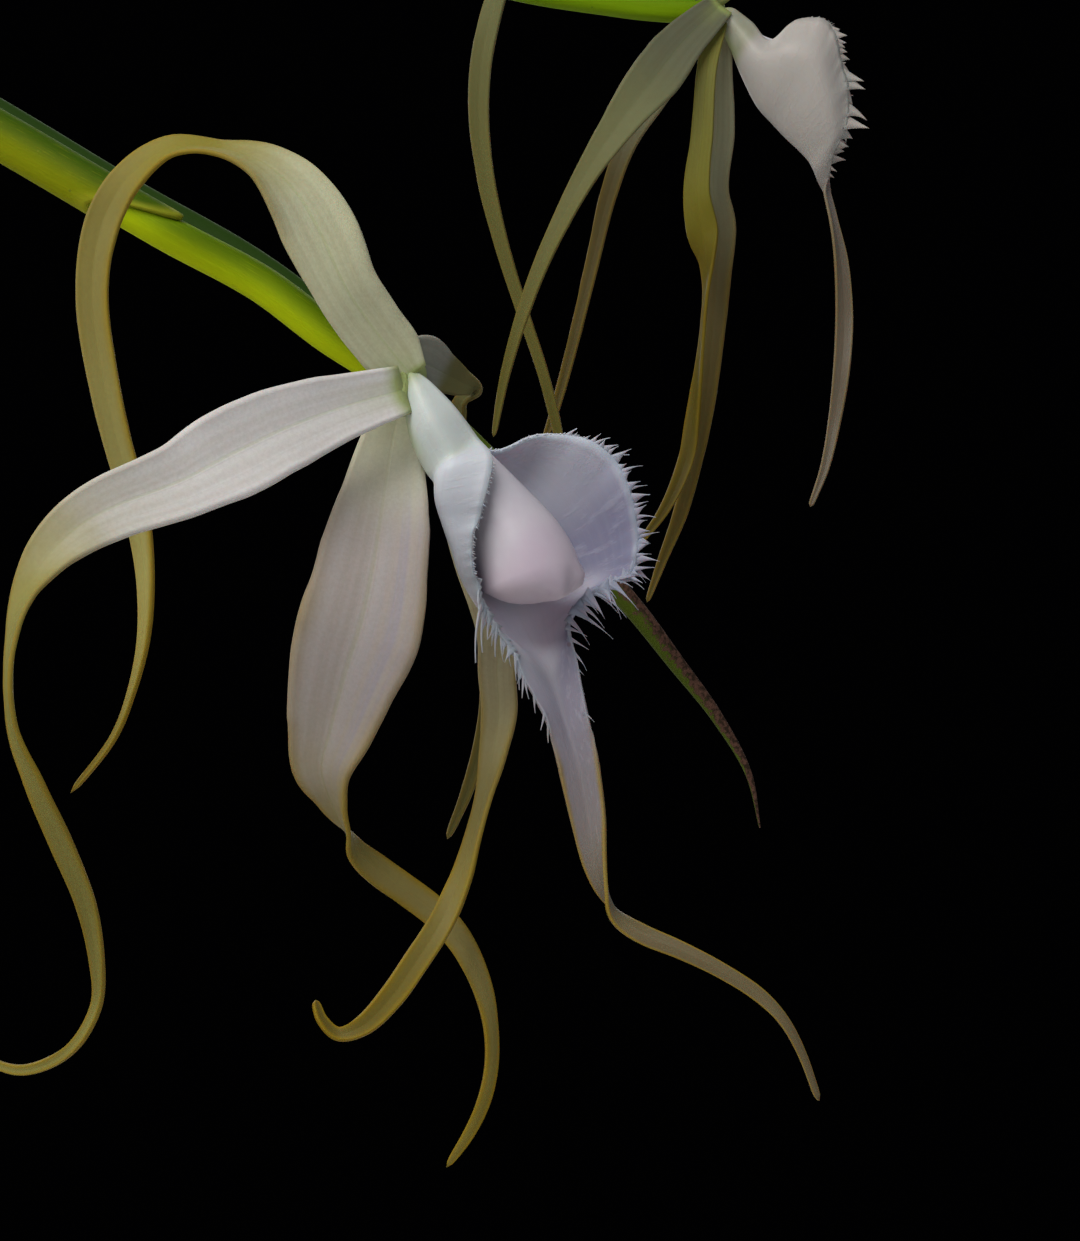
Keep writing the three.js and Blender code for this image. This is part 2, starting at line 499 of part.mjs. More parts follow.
const ROOTS = [
  [
    [33.3, -18.9, 88.9], [37.3, -26.1, 95.5], [37.4, -29.2, 101], [40.6, -34.1, 103.6], [44.5, -38.7, 102.5],
    [45.7, -41.2, 97], [44.6, -41.6, 84], [41, -39.5, 72], [38.5, -38.5, 64],
  ],
  [[26.6, -18.8, 89.3], [22, -28, 91], [12, -36, 90.5], [0, -40, 90]],
  [
    [-34.8, 12.4, 88.9], [-39.9, 16.1, 92], [-42.5, 18.9, 97.5], [-43.5, 20.3, 101.2], [-47.2, 24.1, 103.6],
    [-52.1, 27.7, 102.5], [-53.6, 29.7, 96.5], [-52.8, 30.5, 86], [-49.7, 29.9, 76],
  ],
  [[-26.6, 11.8, 89.6], [-20, 24, 90.6], [-6, 33, 90.6], [10, 37, 90]],
];

function barkHeight(radius) {
  return BARK_TOP - (BARK_TOP - BARK_EDGE) * (radius / BARK_DOME_RADIUS) ** 2;
}

// Inner radius of the pot at a height above its floor
function boreRadius(height) {
  const slope = (SHOULDER_RADIUS - FOOT_RADIUS) / (POT_HEIGHT - RIM_HEIGHT);
  return FOOT_RADIUS - POT_WALL + slope * height;
}

function potProfile() {
  const shoulder = POT_HEIGHT - RIM_HEIGHT;
  return [
    [0, 0], [FOOT_RADIUS, 0], [SHOULDER_RADIUS, shoulder], [RIM_RADIUS - SHOULDER_BEVEL, shoulder],
    [RIM_RADIUS, shoulder + SHOULDER_BEVEL], [RIM_RADIUS, POT_HEIGHT - RIM_BEVEL],
    [RIM_RADIUS - RIM_BEVEL, POT_HEIGHT], [boreRadius(POT_HEIGHT) + RIM_BEVEL, POT_HEIGHT],
    [boreRadius(POT_HEIGHT), POT_HEIGHT - RIM_BEVEL],
    [boreRadius(POT_FLOOR), POT_FLOOR], [0, POT_FLOOR],
  ];
}

function lathe(profile, segments) {
  const outline = profile.map(([radius, height]) => new THREE.Vector2(radius, height));
  const geometry = new THREE.LatheGeometry(outline, segments);
  geometry.rotateX(Math.PI / 2);
  return geometry;
}

function barkProfile() {
  const rim = boreRadius(BARK_EDGE) - GAP;
  const dome = [1, 0.8, 0.6, 0.4, 0.2, 0].map((part) => [rim * part, barkHeight(rim * part)]);
  return [[0, POT_FLOOR + GAP], [boreRadius(POT_FLOOR) - GAP, POT_FLOOR + GAP], ...dome];
}

// Cuts one solid from another
async function subtract(first, second) {
  const wasm = await Module();
  wasm.setup();
  const solid = (geometry) => {
    const bare = geometry.clone();
    bare.deleteAttribute('normal');
    bare.deleteAttribute('uv');
    const merged = mergeVertices(bare, 1e-4);
    return new wasm.Manifold(new wasm.Mesh({
      numProp: 3,
      vertProperties: Float32Array.from(merged.attributes.position.array),
      triVerts: Uint32Array.from(merged.index.array),
    }));
  };
  const mesh = solid(first).subtract(solid(second)).getMesh();
  const geometry = new THREE.BufferGeometry();
  geometry.setAttribute('position', new THREE.BufferAttribute(mesh.vertProperties, 3));
  geometry.setIndex(new THREE.BufferAttribute(mesh.triVerts, 1));
  return geometry;
}

async function potGeometry() {
  let pot = lathe(potProfile(), POT_SEGMENTS);
  for (let i = 0; i < DRAINS; i += 1) {
    const angle = Math.PI / 4 + (i * 2 * Math.PI) / DRAINS;
    const drill = new THREE.CylinderGeometry(DRAIN_RADIUS, DRAIN_RADIUS, POT_FLOOR * 3, DRAIN_SIDES);
    drill.rotateX(Math.PI / 2);
    drill.translate(DRAIN_CIRCLE * Math.cos(angle), DRAIN_CIRCLE * Math.sin(angle), POT_FLOOR / 2);
    pot = await subtract(pot, drill);
  }
  return pot;
}

add('pot', await potGeometry(), 'clay');
add('bark_mix', lathe(barkProfile(), BARK_SEGMENTS), 'bark');

const RHIZOME = [[-34, 12, 88.9], [-18, 4, 90.7], [0, 0, 91.6], [16, -8, 90.7], [32, -18, 88.9]];
add('rhizome', rod(RHIZOME, RHIZOME_TAPER, ROD_SIDES, RHIZOME_STEPS), 'rhizome');

// Points of a leaf: where nothing else grows from the cane's end, it starts in line with the cane
function leafPoints(growth) {
  if (growth.shared) return growth.leaf;
  const cane = curveThrough(growth.cane);
  const inLine = (distance) => cane.getPoint(1).addScaledVector(cane.getTangent(1), distance).toArray();
  return [inLine(LEAF_GAP), inLine(LEAF_JOINT), ...growth.leaf];
}

GROWTHS.forEach((growth, index) => {
  const number = index + 1;
  add(`cane_${number}`, rod(growth.cane, CANE_TAPER, ROD_SIDES, CANE_STEPS), 'cane');
  const sheath = sleeve(growth.cane, CANE_TAPER, ROD_SIDES, CANE_SHEATH_STEPS, ...CANE_SHEATH);
  add(`cane_sheath_${number}`, sheath, 'sheath');
  add(`leaf_${number}`, rod(leafPoints(growth), growth.radii ?? LEAF_TAPER, ROD_SIDES, LEAF_STEPS), 'leaf');
});

STALKS.forEach((stalk, index) => {
  add(`pedicel_${index + 1}`, rod(stalk.points, PEDICEL_TAPER, ROD_SIDES, STALK_STEPS), 'pedicel');
  const spathe = sleeve(stalk.points, PEDICEL_TAPER, ROD_SIDES, SPATHE_STEPS, ...stalk.sheath);
  add(`spathe_${index + 1}`, spathe, 'pedicel');
});

ROOTS.forEach((root, index) => {
  add(`root_${index + 1}`, rod(root, ROOT_TAPER, ROD_SIDES, ROOT_STEPS), 'root');
});

addFlower(1, NEAR_FLOWER, FLOWER_1);
addFlower(2, REAR_FLOWER, FLOWER_2);

export default plant;
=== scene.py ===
# %% [markdown]
# # A potted orchid with two long-tailed flowers
#
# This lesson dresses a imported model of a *Brassavola cucullata* in a clay pot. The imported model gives
# every place and size: it is loaded first and never moved. Each of its plain solids is then replaced
# by a finer piece that lies in the same place. Everything is in metres, +Z is up, +X is to the right
# and +Y points away from the viewer. Small plant sizes read better in millimetres, so `MM` turns them
# into metres.

import math
import random

import bpy
import numpy as np
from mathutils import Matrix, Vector


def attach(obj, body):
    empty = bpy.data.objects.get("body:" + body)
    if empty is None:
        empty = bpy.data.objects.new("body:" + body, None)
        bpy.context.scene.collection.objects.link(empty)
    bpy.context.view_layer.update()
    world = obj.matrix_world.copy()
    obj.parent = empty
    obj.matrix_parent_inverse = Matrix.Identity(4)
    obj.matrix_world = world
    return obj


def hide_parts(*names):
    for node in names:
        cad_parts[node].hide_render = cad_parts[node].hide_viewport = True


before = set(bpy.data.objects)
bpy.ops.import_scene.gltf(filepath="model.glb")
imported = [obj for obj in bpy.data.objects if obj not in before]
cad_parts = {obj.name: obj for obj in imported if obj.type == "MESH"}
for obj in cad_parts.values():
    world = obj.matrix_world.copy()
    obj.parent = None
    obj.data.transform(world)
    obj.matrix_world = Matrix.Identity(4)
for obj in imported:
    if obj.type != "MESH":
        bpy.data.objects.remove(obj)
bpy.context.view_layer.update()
MM = 0.001
print("CAD nodes:", len(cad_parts))

# %% [markdown]
# ## Camera
#
# The flowers are seen from a hand's width away, level with them. The near flower's own point is 260 mm
# from the lens, and there 12 pixels of the picture are 1 mm. A long lens keeps the shapes free of
# distortion, and both flowers stay in focus because depth of field is left off.

# %% Set up the camera
NEAR_POINT = Vector((115, -60, 190)) * MM
REAR_POINT = Vector((148, 57, 243.3)) * MM
CAMERA_PLACE = Vector((126.67, -320, 169.29)) * MM

bpy.ops.object.camera_add(location=CAMERA_PLACE, rotation=(math.radians(90), 0, 0))
camera = bpy.context.object
camera.name = "camera"
camera.data.sensor_width = 36
camera.data.lens = 90.5
camera.data.clip_start = 0.01
bpy.context.scene.camera = camera
print("camera to near flower in mm:", round((CAMERA_PLACE - NEAR_POINT).length / MM))

# %% [markdown]
# ## Floor, light and background
#
# The pot stands on a plain pale disc. A white flower reads best against the dark, so the camera sees a
# nearly black surrounding, while the plant itself is lit by four large soft panels: a key from the
# upper left in front, a weak fill from the right, a rim light from behind and a low one from the left.
# Large panels close to a small subject give soft edges to the shadows, and their light falls off
# towards the rear flower.

# %% Make the floor and the lights
FLOOR_RADIUS = 0.46
FLOOR_THICKNESS = 0.004
FLOOR_GAP = 0.0001


def deselect():
    if bpy.context.object and bpy.context.object.mode != "OBJECT":
        bpy.ops.object.mode_set(mode="OBJECT")
    bpy.ops.object.select_all(action="DESELECT")


deselect()
floor_place = (0, 0, -FLOOR_THICKNESS / 2 - FLOOR_GAP)
bpy.ops.mesh.primitive_cylinder_add(
    vertices=96, radius=FLOOR_RADIUS, depth=FLOOR_THICKNESS, location=floor_place
)
floor = bpy.context.object
floor.name = "floor"

BETWEEN_FLOWERS = (0.11, -0.03, 0.18)
# Each panel's place, aim, size, watts and tint
PANELS = {
    "key_panel": ((-0.06, -0.34, 0.56), BETWEEN_FLOWERS, 0.34, 2.5, (1.0, 0.985, 0.96)),
    "fill_panel": ((0.62, -0.45, 0.22), BETWEEN_FLOWERS, 0.5, 0.4, (0.93, 0.96, 1.0)),
    "rim_panel": ((0.05, 0.60, 0.45), (0.03, 0, 0.15), 0.6, 1.4, (1.0, 0.98, 0.95)),
    "low_panel": ((-0.55, -0.25, 0.25), (0, 0, 0.1), 0.5, 1.2, (1.0, 1.0, 1.0)),
}
for name, (place, aim, size, watts, tint) in PANELS.items():
    bpy.ops.object.light_add(type="AREA", location=place)
    light = bpy.context.object
    light.name = name
    light.rotation_euler = (Vector(aim) - Vector(place)).to_track_quat("-Z", "Y").to_euler()
    light.data.size = size
    light.data.energy = watts
    light.data.color = tint
print("panels:", len(PANELS), "floor radius in m:", FLOOR_RADIUS)

# %% [markdown]
# ## Writing shader maths as Python
#
# A material is a small machine of nodes. Wiring dozens of them by hand is hard to read, so the class
# `Wire` wraps one socket: `mask * 0.5 + noise` adds the two Math nodes that do it. Any other kind of
# node comes from its one method `node`, which takes the settings first and the sockets after them.
# A colour is written as three numbers, for red, green and blue.


# %% Wrap a socket so that it can be reckoned with
class Wire:
    def __init__(self, tree, socket=None):
        self.tree = tree
        self.socket = socket

    def node(self, kind, settings=None, sockets=None, output=0):
        made = self.tree.nodes.new(kind)
        for key, value in (settings or {}).items():
            if key == "stops":
                ramp = made.color_ramp
                while len(ramp.elements) < len(value):
                    ramp.elements.new(1.0)
                for element, (place, tone) in zip(ramp.elements, value):
                    element.position = place
                    element.color = (*tone, 1.0)
            else:
                setattr(made, key, value)
        for key, value in (sockets or {}).items():
            if isinstance(value, Wire):
                self.tree.links.new(value.socket, made.inputs[key])
            else:
                made.inputs[key].default_value = value
        return Wire(self.tree, made.outputs[output])

    def math(self, operation, *others):
        sockets = {number + 1: other for number, other in enumerate(others)}
        return self.node("ShaderNodeMath", {"operation": operation}, {0: self, **sockets})

    def __add__(self, other):
        return self.math("ADD", other)

    __radd__ = __add__

    def __mul__(self, other):
        return self.math("MULTIPLY", other)

    __rmul__ = __mul__

    def __sub__(self, other):
        return self.math("SUBTRACT", other)

    def __rsub__(self, other):
        return (self * -1.0) + other

    def __pow__(self, power):
        return self.math("POWER", power)

    def smooth(self, low, high):
        """0 below low, 1 above high, with soft ends."""
        steps = {"interpolation_type": "SMOOTHSTEP"}
        return self.node("ShaderNodeMapRange", steps, {0: self, 1: low, 2: high})

    def mix(self, first, second):
        """A colour between two others, with this number as the share of the second."""
        first, second = (tone if isinstance(tone, Wire) else (*tone, 1.0) for tone in (first, second))
        return self.node("ShaderNodeMix", {"data_type": "RGBA"}, {0: self, 6: first, 7: second}, 2)


# %% Start a material with its most used inputs
class Finish:
    """A material with its shader node, its object coordinates and its UV map as wires."""

    def __init__(self, name, roughness=0.5):
        self.material = bpy.data.materials.new(name)
        self.material.use_nodes = True
        tree = self.material.node_tree
        tree.nodes.clear()
        self.wire = Wire(tree)
        output = tree.nodes.new("ShaderNodeOutputMaterial")
        self.shader = tree.nodes.new("ShaderNodeBsdfPrincipled")
        tree.links.new(self.shader.outputs[0], output.inputs[0])
        self.shader.inputs["Roughness"].default_value = roughness
        self.place = self.wire.node("ShaderNodeTexCoord", output="Object")
        self.uv = self.wire.node("ShaderNodeTexCoord", output="UV")
        self.across = self.wire.node("ShaderNodeSeparateXYZ", sockets={0: self.uv}, output=0)
        self.along = self.wire.node("ShaderNodeSeparateXYZ", sockets={0: self.uv}, output=1)

    def off_middle(self):
        """How far a point is from the middle of its strip: 0 there, 0.5 at a margin."""
        return (self.across - 0.5).math("ABSOLUTE")

    def noise(self, scale, detail=3.0, roughness=0.55, vector=None):
        sockets = {"Vector": vector or self.place, "Scale": scale, "Detail": detail, "Roughness": roughness}
        return self.wire.node("ShaderNodeTexNoise", None, sockets)

    def streaks(self, across, along, detail=4.0, roughness=0.55, shift=0.0):
        """A noise on the UV map, scaled apart across and along it, so that it becomes long streaks."""
        sockets = {0: self.uv, 1: (across, along, 1.0), 2: (shift, shift, shift)}
        apart = self.wire.node("ShaderNodeVectorMath", {"operation": "MULTIPLY_ADD"}, sockets)
        return self.noise(1.0, detail, roughness, apart)

    def layers(self, scales, detail=4.0, roughness=0.55):
        """A noise scaled apart along the object's own axes, so that it lies in layers."""
        apart = self.wire.node("ShaderNodeVectorMath", {"operation": "MULTIPLY"}, {0: self.place, 1: scales})
        return self.noise(1.0, detail, roughness, apart)

    def specks(self, scale):
        """The distance to the nearest of many scattered points."""
        sockets = {"Vector": self.place, "Scale": scale}
        return self.wire.node("ShaderNodeTexVoronoi", None, sockets, "Distance")

    def set(self, **links):
        """Links wires to the shader, or sets its plain values."""
        for name, value in links.items():
            target = self.shader.inputs[name.replace("_", " ")]
            if isinstance(value, Wire):
                self.wire.tree.links.new(value.socket, target)
            else:
                target.default_value = value

    def bump(self, height, strength=0.3, distance=0.0002):
        sockets = {"Height": height, "Strength": strength, "Distance": distance}
        self.set(Normal=self.wire.node("ShaderNodeBump", None, sockets))


# %% Dress the floor and the surroundings
floor_finish = Finish("pale floor", 0.7)
floor_grain = floor_finish.noise(60.0, 4.0)
floor_finish.set(Base_Color=floor_grain.mix((0.62, 0.61, 0.59), (0.70, 0.69, 0.67)))
floor.data.materials.append(floor_finish.material)

world = bpy.data.worlds.new("dark surroundings")
world.use_nodes = True
world_tree = world.node_tree
world_tree.nodes.clear()
seen = Wire(world_tree).node("ShaderNodeLightPath", output="Is Camera Ray")
shade = seen.mix((0.16, 0.17, 0.18), (0.0004, 0.0004, 0.0005))
background = seen.node("ShaderNodeBackground", None, {0: shade, 1: 1.0})
world_output = world_tree.nodes.new("ShaderNodeOutputWorld")
world_tree.links.new(background.socket, world_output.inputs[0])
bpy.context.scene.world = world
bpy.context.scene.view_settings.view_transform = "Standard"
print("materials so far:", len(bpy.data.materials))

# %% [markdown]
# ## Curves and grids
#
# Nearly every part of this plant is a strip or a tube that follows a curve. By hand one would add a
# grid, and pull its rows into place along a path. The helpers below do the same: `spline` runs a
# smooth curve through a few given points, and `lay_grid` adds Blender's own grid primitive and
# lays its points in rows. The grid brings a UV map with it, which runs across (U) and along (V) the
# strip, so that veins and edge colours can follow the petal wherever it twists.


# %% Run smooth curves through given points
LENGTH_SAMPLES = 801
WAVE_SHARES = (1.0, 0.55, 0.33)
WAVE_HEIGHT = 1.88


def spline(points, t):
    """Points at t (0 to 1) of a centripetal Catmull-Rom curve."""
    points = np.asarray(points, float)
    place = np.clip(np.asarray(t, float), 0, 1) * (len(points) - 1)
    index = np.minimum(place.astype(int), len(points) - 2)
    share = (place - index)[:, None]
    padded = np.vstack([2 * points[0] - points[1], points, 2 * points[-1] - points[-2]])
    before, start, end, after = (padded[index + k] for k in range(4))

    def knot(first, second):
        return np.maximum(np.linalg.norm(second - first, axis=1, keepdims=True) ** 0.5, 1e-6)

    a, b, c = knot(before, start), knot(start, end), knot(end, after)
    leaving = ((start - before) / a - (end - before) / (a + b) + (end - start) / b) * b
    arriving = ((end - start) / b - (after - start) / (b + c) + (after - end) / c) * b
    square = 3 * (end - start) - 2 * leaving - arriving
    cube = 2 * (start - end) + leaving + arriving
    return start + leaving * share + square * share**2 + cube * share**3


def distances(points):
    """How far along their curve the points lie."""
    return np.concatenate([[0], np.cumsum(np.linalg.norm(np.diff(points, axis=0), axis=1))])


def evenly(points, count):
    """As many t values, evenly spaced along the curve's length."""
    fine = np.linspace(0, 1, LENGTH_SAMPLES)
    length = distances(spline(points, fine))
    return np.interp(np.linspace(0, length[-1], count), length, fine)


def between(values, t):
    """A smooth run of numbers through evenly spaced values."""
    values = np.asarray(values, float)
    place = np.clip(np.asarray(t, float), 0, 1) * (len(values) - 1)
    index = np.minimum(place.astype(int), len(values) - 2)
    share = place - index
    slope = np.gradient(values)
    rise = (values[index + 1] - values[index]) * share**2 * (3 - 2 * share)
    leaving = slope[index] * share * (1 - share) ** 2
    arriving = slope[index + 1] * share**2 * (share - 1)
    return values[index] + rise + leaving + arriving


def unit(vectors):
    return vectors / np.maximum(np.linalg.norm(vectors, axis=-1, keepdims=True), 1e-12)


def turned(vectors, axes, degrees):
    """Vectors turned about their own axes."""
    angle = np.radians(degrees)[:, None]
    along = (vectors * axes).sum(axis=1, keepdims=True) * axes
    return vectors * np.cos(angle) + np.cross(axes, vectors) * np.sin(angle) + along * (1 - np.cos(angle))


def waves(seed, distance, longest):
    """A soft irregular wave, between about -1 and 1, from three sines."""
    chance = random.Random(seed)
    total = np.zeros_like(distance)
    for share in WAVE_SHARES:
        length = longest * share * chance.uniform(0.85, 1.15)
        total += share * np.sin(2 * np.pi * (distance / length + chance.random()))
    return total / WAVE_HEIGHT


# %% Lay a grid's points in rows
def lay_grid(name, rows):
    rows = np.asarray(rows, float)
    along, across = rows.shape[:2]
    deselect()
    bpy.ops.mesh.primitive_grid_add(
        x_subdivisions=across - 1, y_subdivisions=along - 1, size=1, calc_uvs=True
    )
    piece = bpy.context.object
    piece.name = name
    piece.data.vertices.foreach_set("co", (rows * MM).astype(np.float32).ravel())
    piece.data.update()
    return piece


def choose(*pieces):
    deselect()
    for piece in pieces:
        piece.select_set(True)
    bpy.context.view_layer.objects.active = pieces[0]


def in_edit_mode(piece, *steps):
    """Runs edit-mode steps on the whole mesh."""
    choose(piece)
    bpy.ops.object.mode_set(mode="EDIT")
    bpy.ops.mesh.select_all(action="SELECT")
    for step in steps:
        step()
    bpy.ops.object.mode_set(mode="OBJECT")


def close_seams(piece, reach=1e-6):
    in_edit_mode(
        piece,
        lambda: bpy.ops.mesh.remove_doubles(threshold=reach),
        lambda: bpy.ops.mesh.normals_make_consistent(inside=False),
    )


def apply_modifier(piece, kind, **settings):
    choose(piece)
    bpy.ops.object.modifier_add(type=kind)
    modifier = piece.modifiers[-1]
    for key, value in settings.items():
        setattr(modifier, key, value)
    bpy.ops.object.modifier_apply(modifier=modifier.name)


def thicken(piece, thickness):
    apply_modifier(piece, "SOLIDIFY", thickness=thickness * MM, offset=0.0, use_rim=True)


def join(first, *others):
    choose(first, *others)
    bpy.ops.object.join()
    return first


def settle(piece, nodes, finish, smooth=True):
    """Gives a piece its finish, and puts it in the place of its CAD nodes if it has any."""
    if smooth:
        choose(piece)
        bpy.ops.object.shade_smooth()
    piece.data.materials.clear()
    piece.data.materials.append(finish.material)
    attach(piece, "root")
    if nodes:
        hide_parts(*nodes)


def make_from_rows(name, rows, node, finish, thickness=None):
    """A closed tube, or a sheet that is given a thickness, in the place of a CAD node."""
    piece = lay_grid(name, rows)
    close_seams(piece)
    if thickness:
        thicken(piece, thickness)
    settle(piece, [node], finish)


# %% [markdown]
# ## Petal and sepal finish
#
# A living tepal is white at its broad part, with a breath of lavender, and olive where it joins the
# flower. Fine veins run from end to end. Its margins are golden ochre, and its long tail turns from
# cream to olive yellow. An image could hold all this, but the UV map does it better: U says how far
# a point is from the margin, V how far along the tail, and the veins draw together with the strip.


# %% Make the tepal finishes
OCHRE = (0.245, 0.165, 0.003)
BASE_GREEN = (0.30, 0.355, 0.11)


def tinted(tone, red, green, blue):
    """The same colour with each of its parts made weaker or stronger."""
    return (tone[0] * red, tone[1] * green, tone[2] * blue)


def tepal_finish(
    name, white, tail, tail_from, gold, gold_from, shaded_half=None, one_side=0.0, root=None
):
    """A tepal: white turns into the tail's tones between two places, and gold creeps in from the margins."""
    finish = Finish(name, 0.5)
    along, across = finish.along, finish.across
    from_middle = finish.off_middle() * 2.0
    mottle = finish.noise(220.0, 4.0)
    grain = finish.noise(3200.0, 3.0, 0.65)
    streaks = finish.streaks(30.0, 1.6, 3.0)
    fine = finish.streaks(110.0, 3.0, 2.0, shift=4.0)
    broad = finish.streaks(9.0, 1.2, 2.0, shift=9.0)

    # Painted shade: one half of the strip can take a darker, cooler colour, as if less light fell on it.
    half_shaded = across.smooth(0.45, 0.8).mix(white, shaded_half or white)
    body = broad.smooth(0.35, 0.68).mix(half_shaded, tinted(white, 0.9, 0.88, 0.86))
    greenish = tinted(white, 0.72, 0.80, 0.52)
    inner = 1.0 - from_middle.smooth(0.25, 0.8)
    vein = streaks.smooth(0.5, 0.72) * inner * 0.14 + fine.smooth(0.5, 0.75) * 0.08
    veined = vein.mix(body, greenish)
    centre = 1.0 - (from_middle + (streaks - 0.5) * 0.05).smooth(0.01, 0.07)
    middled = (centre * 0.35).mix(veined, greenish)
    # Partly painted light: the root colour gives the base its own greenish tint, and is paler to offset the
    # shade that falls there.
    if root:
        middled = ((1.0 - along.smooth(0.02, 0.13)) * 0.9).mix(middled, root)

    tones = along.node("ShaderNodeValToRGB", {"stops": tail}, {0: along})
    tail_share = (along + (mottle - 0.5) * 0.06).smooth(*tail_from)
    toned = (tail_share * (0.94 + fine * 0.06)).mix(middled, tones)
    creep = finish.noise(120.0, 1.0)
    golden = (from_middle + (creep - 0.5) * 0.4 + along * 0.5).smooth(0.72, 1.42)
    golden = golden * (across.smooth(0.3, 0.7) * one_side + (1.0 - one_side))
    edged = (golden * along.smooth(gold_from, gold_from + 0.22) * gold).mix(toned, OCHRE)
    green_end = (1.0 - along.smooth(0.0, 0.016)) * 0.85 + (1.0 - along.smooth(0.0, 0.07)) * inner * 0.3
    based = green_end.math("MINIMUM", 0.9).mix(edged, BASE_GREEN)
    blemish = finish.specks(160.0).smooth(0.0, 0.045)
    blemished = blemish.mix((0.40, 0.33, 0.2), based)
    finish.set(Base_Color=(grain.smooth(0.36, 0.66) * 0.09).mix(blemished, (0.10, 0.08, 0.05)))
    finish.set(Roughness=0.45 + mottle * 0.2)
    texture = streaks * 0.15 + fine * 0.25 + grain * 0.3 - centre * 0.4
    finish.bump(texture * (1.0 - tail_share * 0.75), 0.3, 0.00012)
    finish.set(Subsurface_Weight=0.12, Subsurface_Scale=0.0015, Specular_IOR_Level=0.12)
    return finish


# Each finish has its white, the stops of its tail's tones along the strip, the two places between which
# white turns into them, how strong its golden margin is, and where that starts
near_petal_finish = tepal_finish(
    "white petal", (0.68, 0.66, 0.645),
    [(0.2, (0.30, 0.27, 0.085)), (0.5, (0.20, 0.175, 0.026))],
    (0.16, 0.38), 0.7, 0.24,
)
near_dorsal_finish = tepal_finish(
    "cream dorsal sepal", (0.52, 0.525, 0.35),
    [(0.3, (0.215, 0.18, 0.012)), (0.5, (0.20, 0.165, 0.03)), (0.62, (0.20, 0.165, 0.035)),
     (0.76, (0.31, 0.28, 0.085)), (0.86, (0.32, 0.27, 0.06)), (1.0, (0.17, 0.12, 0.004))],
    (0.23, 0.36), 0.85, 0.08, one_side=0.75,
)
near_sepal_finish = tepal_finish(
    "lavender sepal", (0.355, 0.32, 0.30),
    [(0.4, (0.19, 0.155, 0.03)), (0.7, (0.23, 0.19, 0.055)), (0.9, (0.16, 0.125, 0.012))],
    (0.24, 0.5), 0.85, 0.0, shaded_half=(0.28, 0.255, 0.285), root=(0.66, 0.67, 0.48),
)
tail_sepal_finish = tepal_finish(
    "olive sepal", (0.46, 0.43, 0.28),
    [(0.4, (0.21, 0.17, 0.05)), (0.75, (0.15, 0.115, 0.012)), (1.0, (0.10, 0.07, 0.003))],
    (0.1, 0.5), 0.8, 0.05,
)
# Painted shade: the far petal's tones are darkened because it lies in shade.
back_petal_shaded_finish = tepal_finish(
    "grey green petal", (0.23, 0.24, 0.20),
    [(0.15, (0.12, 0.115, 0.04)), (0.6, (0.10, 0.09, 0.02))],
    (0.12, 0.17), 0.3, 0.13,
)
# Painted shade: the rear flower's tepals are darker copies of the near flower's tones, to stand in for the
# dimmer light on it.
rear_pale_shaded_finish = tepal_finish(
    "rear pale tepal", (0.135, 0.14, 0.085),
    [(0.3, (0.145, 0.15, 0.065)), (0.6, (0.12, 0.115, 0.03)), (0.9, (0.10, 0.09, 0.014))],
    (0.1, 0.35), 0.12, 0.4,
)
rear_yellow_shaded_finish = tepal_finish(
    "rear yellow sepal", (0.16, 0.155, 0.03),
    [(0.25, (0.16, 0.14, 0.007)), (0.45, (0.10, 0.075, 0.004)), (0.9, (0.055, 0.04, 0.002))],
    (0.1, 0.4), 0.3, 0.3,
)
rear_lavender_shaded_finish = tepal_finish(
    "rear lavender sepal", (0.235, 0.24, 0.15),
    [(0.2, (0.12, 0.11, 0.055)), (0.5, (0.075, 0.058, 0.015)), (0.9, (0.06, 0.042, 0.002))],
    (0.15, 0.5), 0.3, 0.1,
)
print("materials so far:", len(bpy.data.materials))

# %% [markdown]
# ## Petals and sepals
#
# Each tepal is a long strip that starts broad and ends in a thread, and on its way it arches, curls
# and twists. It could be drawn as a curve with a flat bevel, but a curve can't change its width and
# its twist freely. So each strip is a grid laid along stations: place, width and turn, listed one by
# one. The middle is a shallow groove, the margins wave a little, and Solidify gives the leaf its
# thickness.


# %% Lay strips along stations
VIEW = np.array([0.0, 1.0, 0.0])
LEAST_WIDTH = 0.45
ROUNDED_END = 0.02
TEPAL_STEPS = 150
TEPAL_ACROSS = 15
TEPAL_THICKNESS = 0.38


def strip_rows(stations, origin, steps, across, seed, cup=0.07, waver=0.02):
    """Rows of a strip. A station is [x, y, z, width, turn], in mm from the origin and in degrees."""
    stations = np.asarray(stations, float)
    t = np.linspace(0, 1, steps + 1)
    middle = spline(stations[:, :3], t)
    tangent = unit(np.gradient(middle, axis=0))
    side = turned(unit(np.cross(tangent, VIEW)), tangent, between(stations[:, 4], t))
    normal = np.cross(tangent, side)
    width = np.maximum(between(stations[:, 3], t), LEAST_WIDTH)
    from_end = np.clip((1 - t) / ROUNDED_END, 0, 1)
    width = width * np.sqrt(from_end * (2 - from_end))
    travelled = distances(middle)
    edges = {-1: waves(seed, travelled, 13.0), 1: waves(seed + 1, travelled, 11.0)}
    ripple = waves(seed + 2, travelled, 9.0)
    rows = []
    for u in np.linspace(-1, 1, across):
        share = u * (1 + waver * edges[-1 if u < 0 else 1] * abs(u))
        groove = -0.016 * np.exp(-((u / 0.2) ** 2))
        lift = (cup * u * u + groove + waver * ripple * u**3 * np.sign(u)) * width
        rows.append(middle + side * (share * width / 2)[:, None] + normal * lift[:, None])
    return np.stack(rows, axis=1) + np.asarray(origin, float)


